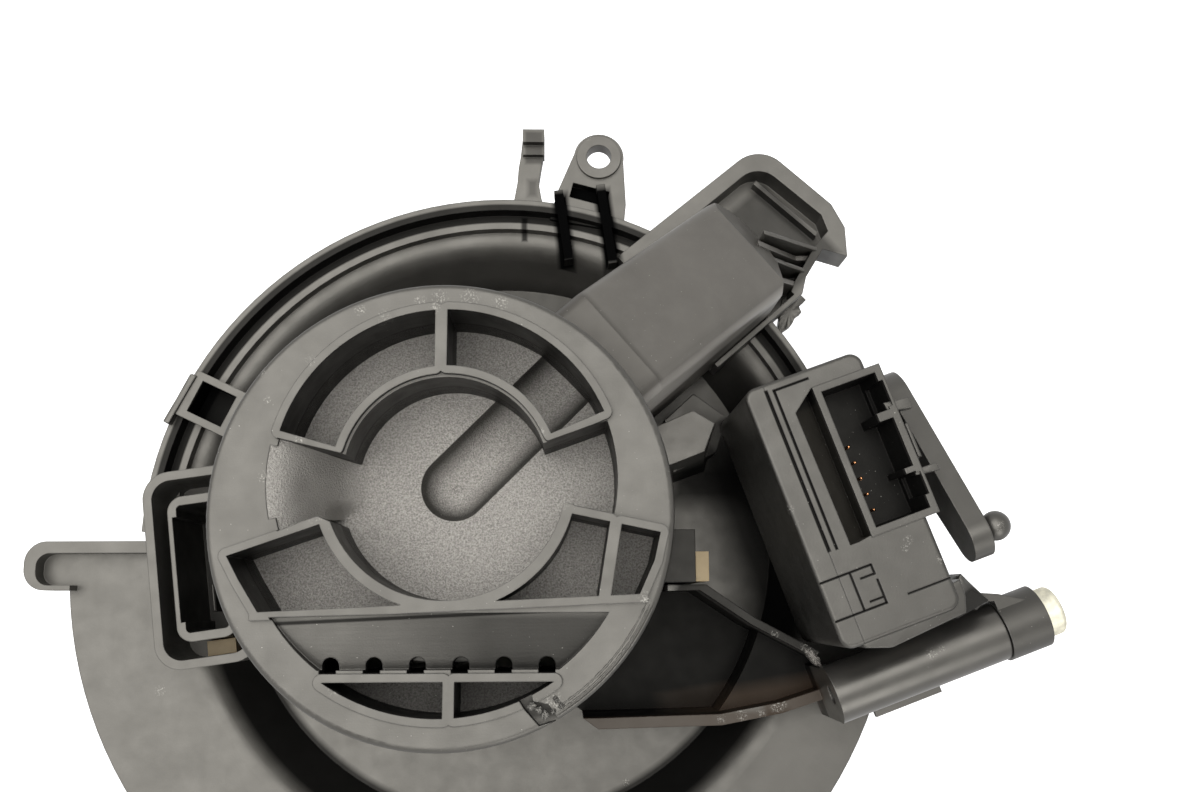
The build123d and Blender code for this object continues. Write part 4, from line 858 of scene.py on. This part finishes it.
# Stage
def light(name, place_at, aim, size, power):
    """Soft square light that looks at a point."""
    data = bpy.data.lights.new(name, "AREA")
    data.shape = "SQUARE"
    data.size = size
    data.energy = power
    obj = bpy.data.objects.new(name, data)
    obj.location = place_at
    obj.rotation_euler = (Vector(aim) - Vector(place_at)).to_track_quat("-Z", "Y").to_euler()
    bpy.context.scene.collection.objects.link(obj)


def white_seen(tree, shaded, out):
    """Floor that the camera sees white but for its deepest shadows, and mirrors see plain white."""
    path = tree.nodes.new("ShaderNodeLightPath").outputs
    lift = tree.nodes.new("ShaderNodeEmission")
    put(tree, lift.inputs["Strength"], times(tree, path["Is Camera Ray"], FLOOR_GLOW))
    added = tree.nodes.new("ShaderNodeAddShader")
    tree.links.new(shaded, added.inputs[0])
    tree.links.new(lift.outputs[0], added.inputs[1])
    white = tree.nodes.new("ShaderNodeEmission")
    mix = tree.nodes.new("ShaderNodeMixShader")
    seen = math_node(tree, "ADD", path["Is Glossy Ray"], path["Is Transmission Ray"], clamp=True)
    tree.links.new(seen, mix.inputs[0])
    tree.links.new(added.outputs[0], mix.inputs[1])
    tree.links.new(white.outputs[0], mix.inputs[2])
    tree.links.new(mix.outputs[0], out)


class BLOWER_OT_stage(bpy.types.Operator):
    """Floor, room light, lamps and camera"""
    bl_idname = "blower.stage"
    bl_label = "Stage"

    def execute(self, context):
        v = context.scene.blower_stage
        half, floor_z = FLOOR_HALF, CAD_LOW[2] - FLOOR_GAP
        mesh = bpy.data.meshes.new("floor")
        mesh.from_pydata([(-half, -half, floor_z), (half, -half, floor_z), (half, half, floor_z),
                          (-half, half, floor_z)], [], [(0, 1, 2, 3)])
        floor = bpy.data.objects.new("floor", mesh)
        context.scene.collection.objects.link(floor)
        mat, tree, shader = material("floor_white")
        shader.inputs["Base Color"].default_value = (0.9, 0.9, 0.9, 1.0)
        shader.inputs["Roughness"].default_value = 0.9
        white_seen(tree, shader.outputs[0], tree.nodes["Material Output"].inputs[0])
        mesh.materials.append(mat)

        world = bpy.data.worlds.new("room")
        context.scene.world = world
        world.use_nodes = True
        room = world.node_tree
        sky = room.nodes["Background"]
        path = room.nodes.new("ShaderNodeLightPath").outputs
        seen = math_node(room, "ADD", path["Is Camera Ray"], path["Is Glossy Ray"])
        seen = math_node(room, "ADD", seen, path["Is Transmission Ray"], clamp=True)
        sky.inputs["Color"].default_value = (1.0, 1.0, 1.0, 1.0)
        put(room, sky.inputs["Strength"], ramp(room, seen, 0.0, 1.0, v.sky_strength, 1.0))

        light("softbox", (-0.2, 0.1, 0.9), (-0.05, 0.0, 0.0), v.key_size, v.key_power)
        light("fill", (0.35, -0.75, 0.5), (0.0, 0.0, 0.0), 0.5, v.fill_power)

        data = bpy.data.cameras.new("camera")
        data.sensor_width = 36.0
        data.lens = 36.0
        data.clip_start = 0.01
        camera = bpy.data.objects.new("camera", data)
        camera.location = v.camera_place
        camera.rotation_mode = "YXZ"
        camera.rotation_euler = (v.camera_tilt, v.camera_lean, 0.0)
        context.scene.collection.objects.link(camera)
        context.scene.camera = camera
        context.scene.view_settings.view_transform = "Standard"
        return {"FINISHED"}


class BLOWER_PT_panel(bpy.types.Panel):
    bl_label = "Blower"
    bl_idname = "BLOWER_PT_panel"
    bl_space_type = "VIEW_3D"
    bl_region_type = "UI"
    bl_category = "Blower"

    def draw(self, context):
        for group in (context.scene.blower_finish, context.scene.blower_stage):
            for key in group.__annotations__:
                self.layout.prop(group, key)
        for operator in OPERATORS:
            self.layout.operator(operator.bl_idname)


OPERATORS = (BLOWER_OT_cover, BLOWER_OT_cap, BLOWER_OT_duct, BLOWER_OT_actuator, BLOWER_OT_bracket,
             BLOWER_OT_connector, BLOWER_OT_motor, BLOWER_OT_stage)
CLASSES = (BlowerFinish, BlowerStage, *OPERATORS, BLOWER_PT_panel)


def register():
    for cls in CLASSES:
        bpy.utils.register_class(cls)
    bpy.types.Scene.blower_finish = bpy.props.PointerProperty(type=BlowerFinish)
    bpy.types.Scene.blower_stage = bpy.props.PointerProperty(type=BlowerStage)


def unregister():
    del bpy.types.Scene.blower_stage
    del bpy.types.Scene.blower_finish
    for cls in reversed(CLASSES):
        bpy.utils.unregister_class(cls)


def main():
    """Register the add-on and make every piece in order."""
    register()
    for operator in OPERATORS:
        group, name = operator.bl_idname.split(".")
        getattr(getattr(bpy.ops, group), name)()


if __name__ == "__main__":
    main()
